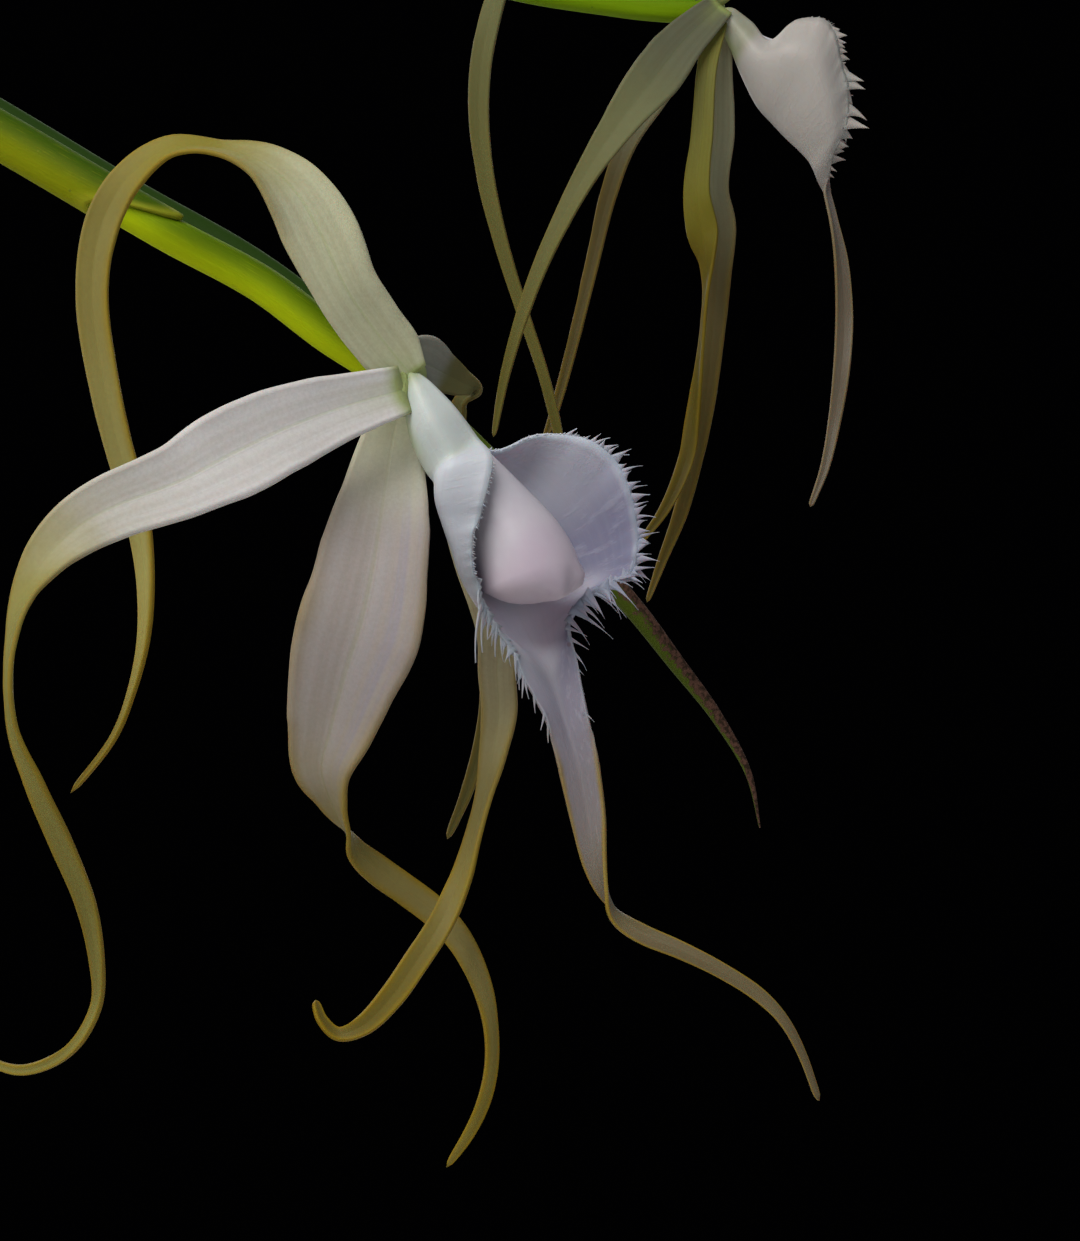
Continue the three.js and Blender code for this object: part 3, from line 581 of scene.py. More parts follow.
def make_tepals(flower, number, origin, tepals, finishes, first_seed):
    for order, (part, stations) in enumerate(tepals.items()):
        rows = strip_rows(stations, origin, TEPAL_STEPS, TEPAL_ACROSS, first_seed + 7 * order)
        node = f"flower_{number}_{part}"
        make_from_rows(f"{flower}_{part}", rows, node, finishes[part], TEPAL_THICKNESS)
    print(flower, "tepals:", len(tepals))


# %% The near flower's tepals
NEAR = np.array(NEAR_POINT) / MM
REAR = np.array(REAR_POINT) / MM

NEAR_TEPALS = {
    "dorsal_sepal": [
        [1, -0.2, -0.35, 3, 0], [-0.5, -0.9, 1.45, 5, 0], [-2.4, -2.1, 3.85, 5.2, 0],
        [-4.3, -3.5, 6.7, 5.4, 0], [-6.3, -4.5, 11, 6.2, 0], [-8.3, -5, 14.3, 5.4, 12],
        [-11.1, -5, 16.7, 4, 38], [-14.9, -4.5, 17.9, 3.3, 64], [-18.9, -4, 17.9, 3.1, 48],
        [-22, -3.5, 15.8, 3, 25], [-23.8, -3.5, 13.2, 2.9, 5], [-24.8, -4, 9.7, 2.8, 0],
        [-25, -4.5, 5.5, 2.6, 0], [-24.2, -5, -0.2, 2.5, 0], [-22.9, -5, -6, 2.3, 0],
        [-21.4, -4.5, -11.7, 2.1, 10], [-20.7, -4, -17, 1.7, 30], [-20.8, -4, -21.9, 1.2, 35],
        [-21.8, -4, -26.4, 0.7, 30], [-23.3, -4.5, -30.3, 0.55, 20], [-26.7, -5, -34.8, 0.5, 0],
    ],
    "near_petal": [
        [0.35, -0.9, -1.55, 4.1, 0], [-4.4, -3.4, -3.1, 5.3, 0], [-9, -6.8, -5.1, 7, 0],
        [-13.5, -10, -7.6, 7.3, 0], [-16.9, -12, -9.6, 6.2, 0], [-22.1, -14, -11.8, 5.2, 0],
        [-24.5, -15, -13.3, 4.8, 6], [-26.8, -16, -15.7, 4, 24], [-28.4, -16.5, -18.5, 3.4, 50],
        [-29.3, -17, -21.8, 2.8, 66], [-29.6, -17, -25.7, 2.5, 72], [-29.3, -16, -29.7, 2.2, 62],
        [-27.9, -15, -33.7, 2, 38], [-26.2, -13, -38.5, 1.9, 10], [-24.6, -11, -43.4, 1.6, 0],
        [-24, -9, -48, 1.3, 20], [-24.3, -7, -51.9, 1, 35], [-26.1, -6, -55.1, 0.9, 20],
        [-28.5, -5, -56.9, 0.9, 0], [-31.4, -4, -57.6, 0.8, 0], [-34.9, -3, -56.3, 0.6, 0],
        [-37.9, -2, -53.6, 0.5, 0],
    ],
    "near_sepal": [
        [0.4, 1.4, -0.6, 3.4, 0], [-0.8, 2.4, -6, 5.4, 0], [-1.5, -1, -11.7, 7.8, 0],
        [-2.1, -4.6, -16.7, 9.2, 0], [-3, -6, -21.1, 10.1, 0], [-4, -6, -24.3, 9.4, 0],
        [-5.4, -5, -29.4, 7.3, 8], [-6.2, -4, -33, 5.4, 25], [-5.4, -3, -35.7, 3.8, 52],
        [-4.4, -2, -37.9, 3, 78], [-3.5, -1, -39.8, 2.7, 120], [-1.8, 0, -41.5, 2.6, 150],
        [0.4, 0.8, -43.2, 2.5, 165], [3, 1.5, -45.3, 2.4, 172], [5.2, 2, -48, 2.1, 175],
        [6.9, 2, -51.7, 1.7, 155], [7.6, 1.5, -55, 1.4, 135], [7.6, 1, -58.1, 1.2, 145],
        [7, 0, -60.7, 1.1, 160], [5.8, -0.5, -63.3, 0.9, 175], [3.9, -1, -66.1, 0.5, 180],
    ],
    "far_sepal": [
        [0.3, 1.2, -0.6, 3, 0], [4.2, 7, -7.6, 4, 20], [6.2, 8.8, -15, 4.4, 25],
        [8.1, 8.2, -21.2, 3.9, 15], [8, 6.6, -25.2, 3.2, 0], [8.2, 5, -28.4, 3, 0],
        [7.8, 3.5, -31.8, 2.6, 28], [7.1, 2, -35.4, 2.4, 58], [6.2, 0.5, -38.7, 2.3, 60],
        [5.1, -1.5, -42.2, 2.2, 42], [3.6, -3.5, -45.4, 2.1, 15], [1.6, -5, -48.5, 2.1, 0],
        [-0.4, -6, -51.3, 2, 0], [-2.7, -6.5, -53.6, 1.6, 5], [-4.7, -6.5, -54.3, 1.1, 30],
        [-6, -6.5, -53.2, 0.9, 40], [-6.6, -6.2, -51.6, 0.6, 20],
    ],
    "far_petal": [
        [0.5, 0.5, 1.1, 3.6, 0], [2, 1.9, 0.85, 4.7, 0], [3.4, 3.4, 0.25, 3.5, 0],
        [4.8, 4.8, -0.4, 2.5, 0], [6.1, 5.9, -0.95, 1.3, 20], [5.9, 6.9, -1.35, 1.2, 60],
        [5, 8, -2, 1.7, 40], [4.3, 10.2, -4.4, 1.8, 20], [4.4, 13.2, -9.5, 1.9, 0],
        [5.9, 14, -15.5, 1.6, 0], [7.1, 14.2, -21.5, 1.4, 0], [7, 13.4, -27.6, 1.2, 0],
        [6.4, 12.5, -31.7, 1.1, 0], [5.3, 11.8, -35.6, 1, 0], [3.6, 11.2, -39.7, 0.5, 0],
    ],
}
NEAR_FINISHES = {
    "dorsal_sepal": near_dorsal_finish,
    "near_petal": near_petal_finish,
    "near_sepal": near_sepal_finish,
    "far_sepal": tail_sepal_finish,
    "far_petal": back_petal_shaded_finish,
}
make_tepals("near_flower", 1, NEAR, NEAR_TEPALS, NEAR_FINISHES, 11)

# %% The rear flower's tepals
REAR_TEPALS = {
    "dorsal_sepal": [
        [0.5, 0.2, 0.2, 3.8, 0], [-3.5, -3, 4.8, 4.8, 0], [-8.4, -5, 8.9, 5.7, 0],
        [-15, -6, 11.1, 4.6, 30], [-21.5, -6, 8.3, 3.4, 60], [-25.6, -5, 2.4, 2.8, 40],
        [-27.9, -4, -4.6, 2.6, 10], [-28.7, -3, -12.2, 2.4, 0], [-27.9, -2, -20.5, 2.1, 10],
        [-26.1, -1, -28.2, 1.8, 20], [-23.7, 0, -35.9, 1.5, 20], [-20.9, 1, -44.3, 1.3, 10],
        [-19.1, 2, -51.5, 1.1, 0], [-18.4, 3, -56.3, 0.5, 0],
    ],
    "near_petal": [
        [0.4, -1.2, 0.1, 3.4, 0], [-4.5, -5, -5.2, 5.3, 0], [-7.6, -8, -9.6, 6, 0],
        [-11.5, -10, -14.9, 4.5, 10], [-14.9, -11, -20, 3.2, 15], [-18.1, -12, -25.8, 2.4, 20],
        [-21.1, -13, -32.2, 1.9, 20], [-23.6, -13, -39, 1.5, 20], [-25.5, -12, -45.6, 1.1, 10],
        [-26.8, -11, -52.5, 0.5, 0],
    ],
    "near_sepal": [
        [0.2, 0, -0.4, 2.8, 0], [-1.4, -4, -8.4, 2.4, 15], [-2, -5, -16.4, 2.8, 25],
        [-2.6, -5, -23, 3.3, 25], [-1.9, -4.4, -27.6, 3.8, 15], [-1.3, -4, -31.2, 2.8, 58],
        [-1.4, -3.6, -35.5, 2.4, 84], [-2, -3, -42.1, 2.2, 78], [-2.8, -2.4, -48.7, 2.1, 50],
        [-3.8, -2, -54.7, 1.9, 10], [-6.3, -3, -60.5, 1.3, 0], [-9.6, -4, -65, 0.5, 0],
    ],
    "far_sepal": [
        [0.2, 0.9, -0.4, 2.8, 0], [0.2, 1.6, -8.2, 3.7, 10], [0.3, 2.2, -14.5, 4.2, 20],
        [-0.2, 2.2, -21.5, 4.1, 30], [0.6, 2.2, -26.2, 4, 25], [0.3, 2.2, -31.8, 3.4, 18],
        [-0.35, 1.9, -38.8, 2.95, 10], [-1.15, 1.7, -46.5, 2.45, 0], [-2.5, 1.5, -53.9, 2.1, 0],
        [-4.4, 1, -61.2, 1.7, 0], [-6.5, 1, -66.7, 1.1, 0], [-8.4, 0, -71.8, 0.5, 0],
    ],
    "far_petal": [
        [0.2, 0.8, 0, 2.6, 10], [-3.1, 7, -3.8, 3.8, 30], [-6.5, 13, -8.3, 3.5, 30],
        [-10.2, 16, -13.5, 2.7, 20], [-12.7, 17, -20.3, 2.1, 10], [-14.8, 17, -29.1, 1.7, 10],
        [-17.1, 16, -38.7, 1.4, 10], [-19.5, 15, -47.6, 1.1, 0], [-21.2, 14, -52.6, 0.5, 0],
    ],
}
REAR_FINISHES = {
    "dorsal_sepal": rear_pale_shaded_finish,
    "near_petal": rear_pale_shaded_finish,
    "near_sepal": rear_yellow_shaded_finish,
    "far_sepal": rear_lavender_shaded_finish,
    "far_petal": rear_lavender_shaded_finish,
}
make_tepals("rear_flower", 2, REAR, REAR_TEPALS, REAR_FINISHES, 61)

# %% [markdown]
# ## Lip
#
# The lip is the flower's showpiece. It starts as a greenish claw rolled round the column, opens into a
# hood with one big fan on the far side, and narrows through a keeled middle lobe into a long tail.
# It grew as one piece, so it is one grid here. Each section across it has five given points,
# from the left margin over the keel to the right margin, and smooth rails run through them.


# %% Lay a lip along its sections
BLADE_STEPS = 170
TAIL_STEPS = 110
LIP_STEPS = BLADE_STEPS + TAIL_STEPS
LIP_ACROSS = 33
LIP_THICKNESS = 0.32
TAIL_CUP = 0.12
CLAW_ANGLES = (-162, -84, 0, 84, 162)
RAILS = len(CLAW_ANGLES)


def claw_section(ring, axis):
    """Five points round a rolled claw, from one margin to the other."""
    x, y, z, radius = ring
    side = unit(np.cross(unit(np.array(axis)), VIEW))
    angles = np.radians(CLAW_ANGLES)[:, None]
    return np.array([x, y, z]) - side * radius * np.cos(angles) + VIEW * radius * np.sin(angles)


def lip_rows(lip, origin, seed):
    """Rows of a lip: rails along the claw and the blade, which run on into a strip for the tail."""
    claw = np.array([claw_section(ring, lip["axis"]) for ring in lip["claw"]])
    tail = strip_rows(lip["tail"], (0, 0, 0), TAIL_STEPS, RAILS, seed, cup=TAIL_CUP, waver=0.0)
    station = TAIL_STEPS // (len(lip["tail"]) - 1)
    sections = np.concatenate([claw, np.array(lip["blade"], float), tail[[0, station]]])
    t = np.linspace(0, 1 - 1 / (len(sections) - 1), BLADE_STEPS + 1)
    rails = np.stack([spline(sections[:, rail], t) for rail in range(RAILS)], axis=1)
    spread = np.linspace(0, 1, LIP_ACROSS)
    blade = np.stack([spline(row, spread) for row in rails])
    ripple = waves(seed, np.arange(BLADE_STEPS + 1) * 0.25, 5.0)[:, None]
    ripple = ripple * np.clip(np.abs(spread - 0.5) * 2, 0, 1) ** 6 * 0.2
    ripple = ripple * np.clip(t * 6 - 1.2, 0, 1)[:, None]
    normal = unit(np.cross(np.gradient(blade, axis=0), np.gradient(blade, axis=1)))
    blade = blade + normal * ripple[..., None]
    start = np.clip((np.arange(BLADE_STEPS + 1) + 0.5) / 6, 0, 1)[:, None, None]
    centre = blade.mean(axis=1, keepdims=True)
    blade = centre + (blade - centre) * np.sqrt(start * (2 - start))
    thread = strip_rows(lip["tail"], (0, 0, 0), TAIL_STEPS, LIP_ACROSS, seed, cup=TAIL_CUP, waver=0.0)
    return np.concatenate([blade, thread[1:]]) + np.asarray(origin, float)


# %% The sections of both lips
# The claw is rolled round its axis, in rings of place and radius
NEAR_LIP = {
    "axis": [0.56, 0, -0.83],
    "claw": [[0.75, 0.1, 0.1, 0.55], [2.75, -0.05, -4.1, 2.2], [4.4, 0.3, -6.85, 2.55]],
    "blade": [
        [[7.7, -2.2, -7.2], [3.5, -2.6, -8.5], [3.4, 1.8, -9.5], [6.3, 4.7, -7.6], [7.7, 2.4, -6.5]],
        [[7.4, -3.3, -9.7], [3.25, -2.4, -10.4], [5.1, 4.2, -11], [9.1, 6.5, -7.7], [11.7, 4.6, -5]],
        [[6.7, -3.7, -12.2], [3.75, -2.3, -12.4], [6.2, 5, -13.4], [12.4, 7.2, -10.4], [16.4, 4.8, -5.6]],
        [[6.1, -3.8, -14.4], [4.5, -2.4, -14.7], [7.2, 5.6, -15.6], [14.4, 7.4, -13], [19.1, 4.5, -9]],
        [[6.2, -3.2, -16.2], [5.1, -2.2, -16.7], [8.3, 5.6, -17.8], [15.5, 7, -15.2], [19.9, 4.2, -13]],
        [[6.7, -2.2, -18.4], [6, -1.4, -18.6], [9.5, 5, -20], [15.9, 6.2, -17.4], [19.7, 3.8, -16.1]],
        [[7.3, -0.8, -20.3], [7.6, 0, -20.9], [10.8, 4, -22.4], [14.7, 4.8, -19.3], [16.8, 3.4, -18.1]],
        [[9, 0.2, -22.8], [9.9, 0.9, -23.2], [12.2, 2.8, -24.4], [13.8, 3.3, -21.9], [14.3, 2.9, -20.2]],
        [[10.5, 0.6, -25.8], [11.6, 1.2, -26.1], [13, 2.2, -26.7], [14, 2.6, -25.7], [14.9, 2.4, -24.7]],
        [[12.2, 1, -29.2], [13, 1.5, -29.4], [13.9, 2.1, -29.6], [14.9, 2, -29.2], [15.7, 1.8, -28.7]],
    ],
    "tail": [
        [14.9, 2, -32.8, 3.4, 0], [15.7, 2, -37, 3, 12], [16.4, 1.5, -41, 2.5, 40],
        [17.2, 1, -43.5, 2.2, 72], [18.3, 0.5, -45.5, 1.8, 125], [20.2, 0, -46.8, 1.7, 150],
        [23.3, -0.5, -48.1, 1.4, 165], [26.6, -1, -49.7, 1.2, 170], [29.9, -1.5, -51.8, 1.1, 165],
        [31.9, -2, -53.9, 0.9, 150], [33.3, -2, -56.5, 0.7, 150], [34.7, -2, -60.4, 0.5, 150],
    ],
}
REAR_LIP = {
    "axis": [0.75, 0, -0.66],
    "claw": [[0.8, 0, -0.4, 1], [3, 0, -3.3, 1.95]],
    "blade": [
        [[6.3, -2.3, -4.4], [5, -3.8, -6.4], [3.5, 0, -9], [5.6, 3.8, -5.2], [6.6, 2.3, -3.9]],
        [[9.6, -3.5, -2.1], [7.6, -5.5, -6.7], [5.1, 0, -12], [8.8, 5.5, -4.7], [10.4, 3.5, -0.7]],
        [[13.1, -4, -2.5], [10.8, -6, -8], [6.9, 0, -14], [12.1, 6, -5.8], [14.2, 4, -1.2]],
        [[14.6, -4, -6.8], [12.3, -5.5, -10.8], [8.4, 0, -15.6], [13.4, 5.5, -8.7], [15, 4, -5.1]],
        [[15.6, -3.5, -11.1], [13.3, -4.5, -13.7], [9.9, 0, -17], [14.1, 4.5, -12.1], [15.5, 3.5, -9.6]],
        [[15.2, -3, -15], [13.8, -3.2, -16.2], [11.2, 0, -18.4], [14, 3.2, -15.2], [15.2, 3, -13.8]],
        [[14, -2, -17.7], [13.1, -1.8, -18.3], [11.9, 0, -19.7], [13.4, 1.8, -17.7], [14.3, 2, -16.9]],
        [[13.5, -0.8, -20.4], [13.1, -0.7, -20.6], [12.4, 0, -21], [13.2, 0.7, -20.4], [13.7, 0.8, -20.1]],
    ],
    "tail": [
        [13.2, -0.4, -22.6, 1.9, -64], [14, -1, -26, 1.5, -48], [14.9, -1, -30.8, 1.9, -28],
        [15.3, -1, -37.2, 2.1, -12], [14.9, -2, -43.9, 1.9, 0], [14, -2, -50.5, 1.4, 10],
        [12.8, -3, -55.7, 1, 0], [11, -4, -60.4, 0.5, 0],
    ],
}
print("lip sections:", len(NEAR_LIP["blade"]), "and", len(REAR_LIP["blade"]))

# %% [markdown]
# ## Fringe
#
# The lip's margin is torn into curved teeth, fine ones on top of the fan and long ones below it. A
# plan lists stretches of a margin, by section of the lip, with the spacing, the length and the lean
# of the teeth there. Each tooth is a tiny grid of its own that is rooted inside the margin, tapers to
# a point and is bent a little out of the sheet. A fixed seed makes no two alike, and each run the same.


# %% Grow the teeth of a margin
TOOTH_THICKNESS = 0.12
TOOTH_ROOT = 0.35
TOOTH_TIP = 0.012


def tooth_rows(root, outward, along, length, half, lean, curl, sway, taper):
    normal = np.cross(outward, along)
    direction = outward * math.cos(lean) + along * math.sin(lean)
    across = np.cross(normal, direction)
    rows = []
    for share in np.linspace(0, 1, 8):
        middle = root - outward * TOOTH_ROOT + direction * (length + TOOTH_ROOT) * share
        middle = middle + across * curl * length * share**2 + normal * sway * length * share**2
        width = max(half * (1 - share) ** taper, TOOTH_TIP)
        rows.append([middle - across * width, middle, middle + across * width])
    return rows


def grow_fringe(name, rows, right, plan, sections, seed, taper, toward=None):
    chance = random.Random(seed)
    edge, inner = (-1, -3) if right else (0, 2)
    margin = rows[: BLADE_STEPS + 1, edge]
    outward = unit(margin - rows[: BLADE_STEPS + 1, inner])
    along = unit(np.gradient(margin, axis=0))
    travelled = distances(margin)
    section = np.linspace(0, sections, BLADE_STEPS + 1)

    def at(values, place):
        return np.array([np.interp(place, travelled, values[:, axis]) for axis in range(3)])

    teeth = []
    for first, last, spacing, length, half, lean in plan:
        place = np.interp(first, section, travelled)
        end = np.interp(last, section, travelled)
        while place < end:
            reach = length * chance.uniform(0.45, 1.35)
            angle = math.radians(lean + chance.uniform(-10, 10))
            curl, sway = chance.uniform(0.1, 0.5), chance.uniform(-0.25, 0.25)
            out = unit(at(outward, place)) if toward is None else unit(np.array(toward))
            run = at(along, place)
            run = unit(run - out * run.dot(out))
            shape = tooth_rows(at(margin, place), out, run, reach, half, angle, curl, sway, taper)
            tooth = lay_grid("tooth", shape)
            row = np.interp(place, travelled, np.arange(BLADE_STEPS + 1))
            spot = (0.99 if right else 0.01, row / LIP_STEPS)
            tooth.data.uv_layers[0].data.foreach_set("uv", spot * len(tooth.data.loops))
            teeth.append(tooth)
            place += spacing * chance.uniform(0.65, 1.35)
    fringe = join(*teeth)
    fringe.name = name
    close_seams(fringe, 1e-7)
    thicken(fringe, TOOTH_THICKNESS)
    print(name, "teeth:", len(teeth))
    return fringe


# Each lip's right and left margins in stretches: first section, last section, spacing, length, half
# width and lean of the teeth. Its torn stretches: right side or not, which way the teeth point, and
# their plan. The taper says how fast a tooth narrows.
NEAR_FRINGE = {
    "right": [
        (2.8, 4.7, 0.25, 0.3, 0.12, 10), (4.5, 5.4, 0.7, 0.8, 0.4, -5), (5.2, 7.4, 1.0, 1.5, 0.62, 0),
        (7.2, 8.4, 1.0, 1.9, 0.6, 12), (5.0, 8.3, 1.5, 2.0, 0.3, 8),
    ],
    "left": [(3.1, 7.8, 0.24, 0.26, 0.08, 30), (3.3, 7.6, 0.9, 0.3, 0.2, 25)],
    "torn": [
        (True, (0.86, -0.2, -0.22), [(8.1, 9.0, 1.2, 1.5, 0.8, 0), (8.1, 9.2, 0.75, 2.5, 0.26, 5)]),
        (True, (0.80, -0.2, -0.56), [(8.9, 10.2, 1.4, 2.2, 0.9, 0), (8.9, 10.2, 1.0, 3.2, 0.34, 0)]),
        (True, (0.85, -0.1, -0.30), [(10.3, 11.0, 1.3, 1.5, 0.24, 0), (11.0, 12.6, 2.4, 0.6, 0.2, 10)]),
        (False, (-0.30, -0.3, -0.90), [(7.7, 8.6, 0.7, 1.0, 0.22, 0), (8.5, 9.4, 0.85, 3.3, 0.36, 0)]),
        (False, (-0.42, -0.2, -0.85), [(8.7, 9.6, 1.0, 2.0, 0.55, 0), (9.4, 11.0, 1.2, 1.1, 0.5, 0)]),
        (False, (-0.25, -0.2, -0.93), [(9.5, 11.1, 0.95, 2.2, 0.3, 0), (11.0, 12.4, 1.4, 1.5, 0.24, 0)]),
    ],
    "taper": 1.7,
}
REAR_FRINGE = {
    "right": [(2.6, 4.4, 0.35, 0.3, 0.12, 20), (4.2, 8.6, 1.2, 1.2, 0.7, 40)],
    "left": [
        (3.0, 4.4, 0.4, 0.35, 0.12, 20), (4.2, 5.6, 1.1, 1.3, 0.75, 45), (5.4, 7.4, 1.2, 2.2, 0.9, 55),
        (7.2, 8.4, 1.1, 2.6, 0.8, 35), (8.3, 9.0, 0.9, 0.8, 0.35, 50),
    ],
    "torn": [],
    "taper": 1.1,
}


# %% [markdown]
# The lip is white with fine veins and rays. Its upper edges and the middle under the column are paler
# still, painted light, and the fan and the middle lobe are a lavender grey darkened by painted shade.
# Its claw is pale green and its tail olive. The parts of the lip are known by their place on the UV map,
# so each tone is laid over the one before through a soft mask on U and V.


# %% Make the lip finish
def lip_finish(name, claw_end, tail_start, white, fan, low, tail_tone, claw_tones, rim=1.0):
    # rim sets how strong the painted light patches and the pale and ochre margins are.
    finish = Finish(name, 0.4)
    along, across = finish.along, finish.across
    from_keel = finish.off_middle()
    mottle = finish.noise(260.0, 4.0)
    streaks = finish.streaks(60.0, 7.0)
    veins = ((across * 150.0 + streaks * 3.0).math("SINE") * 0.5 + 0.5) ** 4.0
    rays = finish.streaks(9.0, 75.0, roughness=0.6, shift=2.0).smooth(0.5, 0.68)
    hood = across.smooth(0.5, 0.72)

    # Painted shade: the fan takes a darker bluish grey, as it lies in shade.
    body = hood.mix(white, fan)
    # Painted light: the upper part of the fan is paler, to offset the column's shadow on it.
    painted_light_fan_top = (1.0 - along.smooth(0.19, 0.31)) * hood * rim * 0.9
    body = painted_light_fan_top.mix(body, (0.66, 0.68, 0.76))
    # Painted light: the upper part of the near wall is paler, to offset the shade on it.
    painted_light_near_top = (1.0 - along.smooth(0.13, 0.22)) * (1.0 - hood) * rim * 0.8
    body = painted_light_near_top.mix(body, (0.60, 0.62, 0.66))
    # Partly painted shade: the middle lobe turns lavender, its own tone, and darker for the column's shade
    # above it.
    body = along.smooth(0.42, 0.56).mix(body, low)
    # Painted light: a paler patch under the column, near the keel, offsets the column's shadow there.
    inner = along.smooth(0.34, 0.40) * (1.0 - along.smooth(0.43, 0.50))
    inner = inner * (1.0 - from_keel.smooth(0.2, 0.42))
    body = (inner * rim * 0.85).mix(body, (0.72, 0.69, 0.78))
    rayed = (rays * hood * 0.22).mix(body, (0.50, 0.51, 0.60))
    veined = (veins * 0.05 + streaks * 0.15).mix(rayed, (0.40, 0.41, 0.48))
    keeled = ((1.0 - from_keel.smooth(0.0, 0.1)) * 0.1).mix(veined, (0.60, 0.59, 0.60))

    claw = 1.0 - (along + (mottle - 0.5) * 0.01).smooth(claw_end - 0.03, claw_end)
    green = finish.noise(120.0, 2.0).smooth(0.4, 0.65).mix(*claw_tones)
    clawed = (claw * 0.8).mix(keeled, green)
    seam = (1.0 - from_keel.smooth(0.02, 0.16)) * (1.0 - along.smooth(0.04, 0.11))
    root = (1.0 - along.smooth(0.0, 0.018)).math("MAXIMUM", seam * 0.75)
    rooted = (root * 0.85).mix(clawed, BASE_GREEN)
    tail = (along + (mottle - 0.5) * 0.04).smooth(tail_start - 0.1, tail_start + 0.16)
    toned = (tail * 0.9).mix(rooted, tail_tone)
    pale_rim = from_keel.smooth(0.465, 0.492) * (1.0 - tail) * along.smooth(0.1, 0.2)
    rimmed = (pale_rim * rim * 0.35).mix(toned, (0.46, 0.48, 0.52))
    ochre_rim = (from_keel + (mottle - 0.5) * 0.1).smooth(0.36, 0.5)
    ochre_rim = ochre_rim * along.smooth(tail_start - 0.06, tail_start + 0.02)
    edged = (ochre_rim * (rim * 0.5 + 0.3)).mix(rimmed, OCHRE)
    speck = finish.specks(150.0).smooth(0.015, 0.045)
    finish.set(Base_Color=speck.mix((0.20, 0.16, 0.20), edged))
    finish.set(Roughness=0.34 + mottle * 0.16)
    finish.bump(streaks * 0.4 + rays * 0.35 + veins * 0.05 + mottle * 0.5 - claw * 0.2, 0.3, 0.00014)
    finish.set(Subsurface_Weight=0.15, Subsurface_Scale=0.0015, Specular_IOR_Level=0.25)
    return finish


TAIL_SHARE = BLADE_STEPS / LIP_STEPS
CLAW_SECTIONS = 2.6
CLAW_SHARE = TAIL_SHARE * CLAW_SECTIONS / (len(NEAR_LIP["claw"]) + len(NEAR_LIP["blade"]))
near_lip_finish = lip_finish(
    "fringed lip", CLAW_SHARE, TAIL_SHARE,
    (0.37, 0.38, 0.42), (0.205, 0.205, 0.305), (0.25, 0.235, 0.295), (0.115, 0.088, 0.019),
    ((0.56, 0.60, 0.56), (0.52, 0.57, 0.38)),
)
# The rear lip's claw greens are darker, painted shade, and rim 0 leaves out the painted light of the near
# lip.
rear_lip_finish = lip_finish(
    "rear fringed lip", 0.1, TAIL_SHARE,
    (0.43, 0.395, 0.355), (0.31, 0.29, 0.275), (0.17, 0.15, 0.13), (0.105, 0.085, 0.05),
    ((0.33, 0.33, 0.25), (0.20, 0.22, 0.09)), rim=0.0,
)


# %% Make both lips
def make_lip(flower, number, origin, lip, fringe, finish, seed):
    rows = lip_rows(lip, origin, seed)
    sections = len(lip["claw"]) + len(lip["blade"])
    piece = lay_grid(f"{flower}_lip", rows)
    close_seams(piece)
    thicken(piece, LIP_THICKNESS)
    taper = fringe["taper"]
    teeth = [
        grow_fringe("right_teeth", rows, True, fringe["right"], sections, seed + 1, taper),
        grow_fringe("left_teeth", rows, False, fringe["left"], sections, seed + 2, taper),
    ]
    for order, (right, toward, plan) in enumerate(fringe["torn"]):
        teeth.append(grow_fringe("torn_teeth", rows, right, plan, sections, seed + 3 + order, taper, toward))
    join(piece, *teeth)
    settle(piece, [f"flower_{number}_lip"], finish)
    print(flower, "lip faces:", len(piece.data.polygons))


make_lip("near_flower", 1, NEAR, NEAR_LIP, NEAR_FRINGE, near_lip_finish, 21)
make_lip("rear_flower", 2, REAR, REAR_LIP, REAR_FRINGE, rear_lip_finish, 31)

# %% [markdown]
# ## Tubes: column, stalks, canes, leaves and roots
#
# Everything else that grew is round in section. A `Stem` gives rings along a curve, domed at both
# ends, that can be told to swell, narrow or carry a groove. Each ring's frame is carried on from the
# one before, which keeps the tube from twisting, so its UV map can hold stripes and speckles.


# %% Lay tubes along a curve
TRACK_STEPS = 600
DOME_RINGS = 7


def carried_frames(tangent):
    """Two directions across each tangent, carried along so that they never twist."""
    side = unit(np.cross(tangent[0], VIEW))
    sides = []
    for direction in tangent:
        side = unit(side - direction * side.dot(direction))
        sides.append(side)
    sides = np.array(sides)
    return sides, np.cross(tangent, sides)


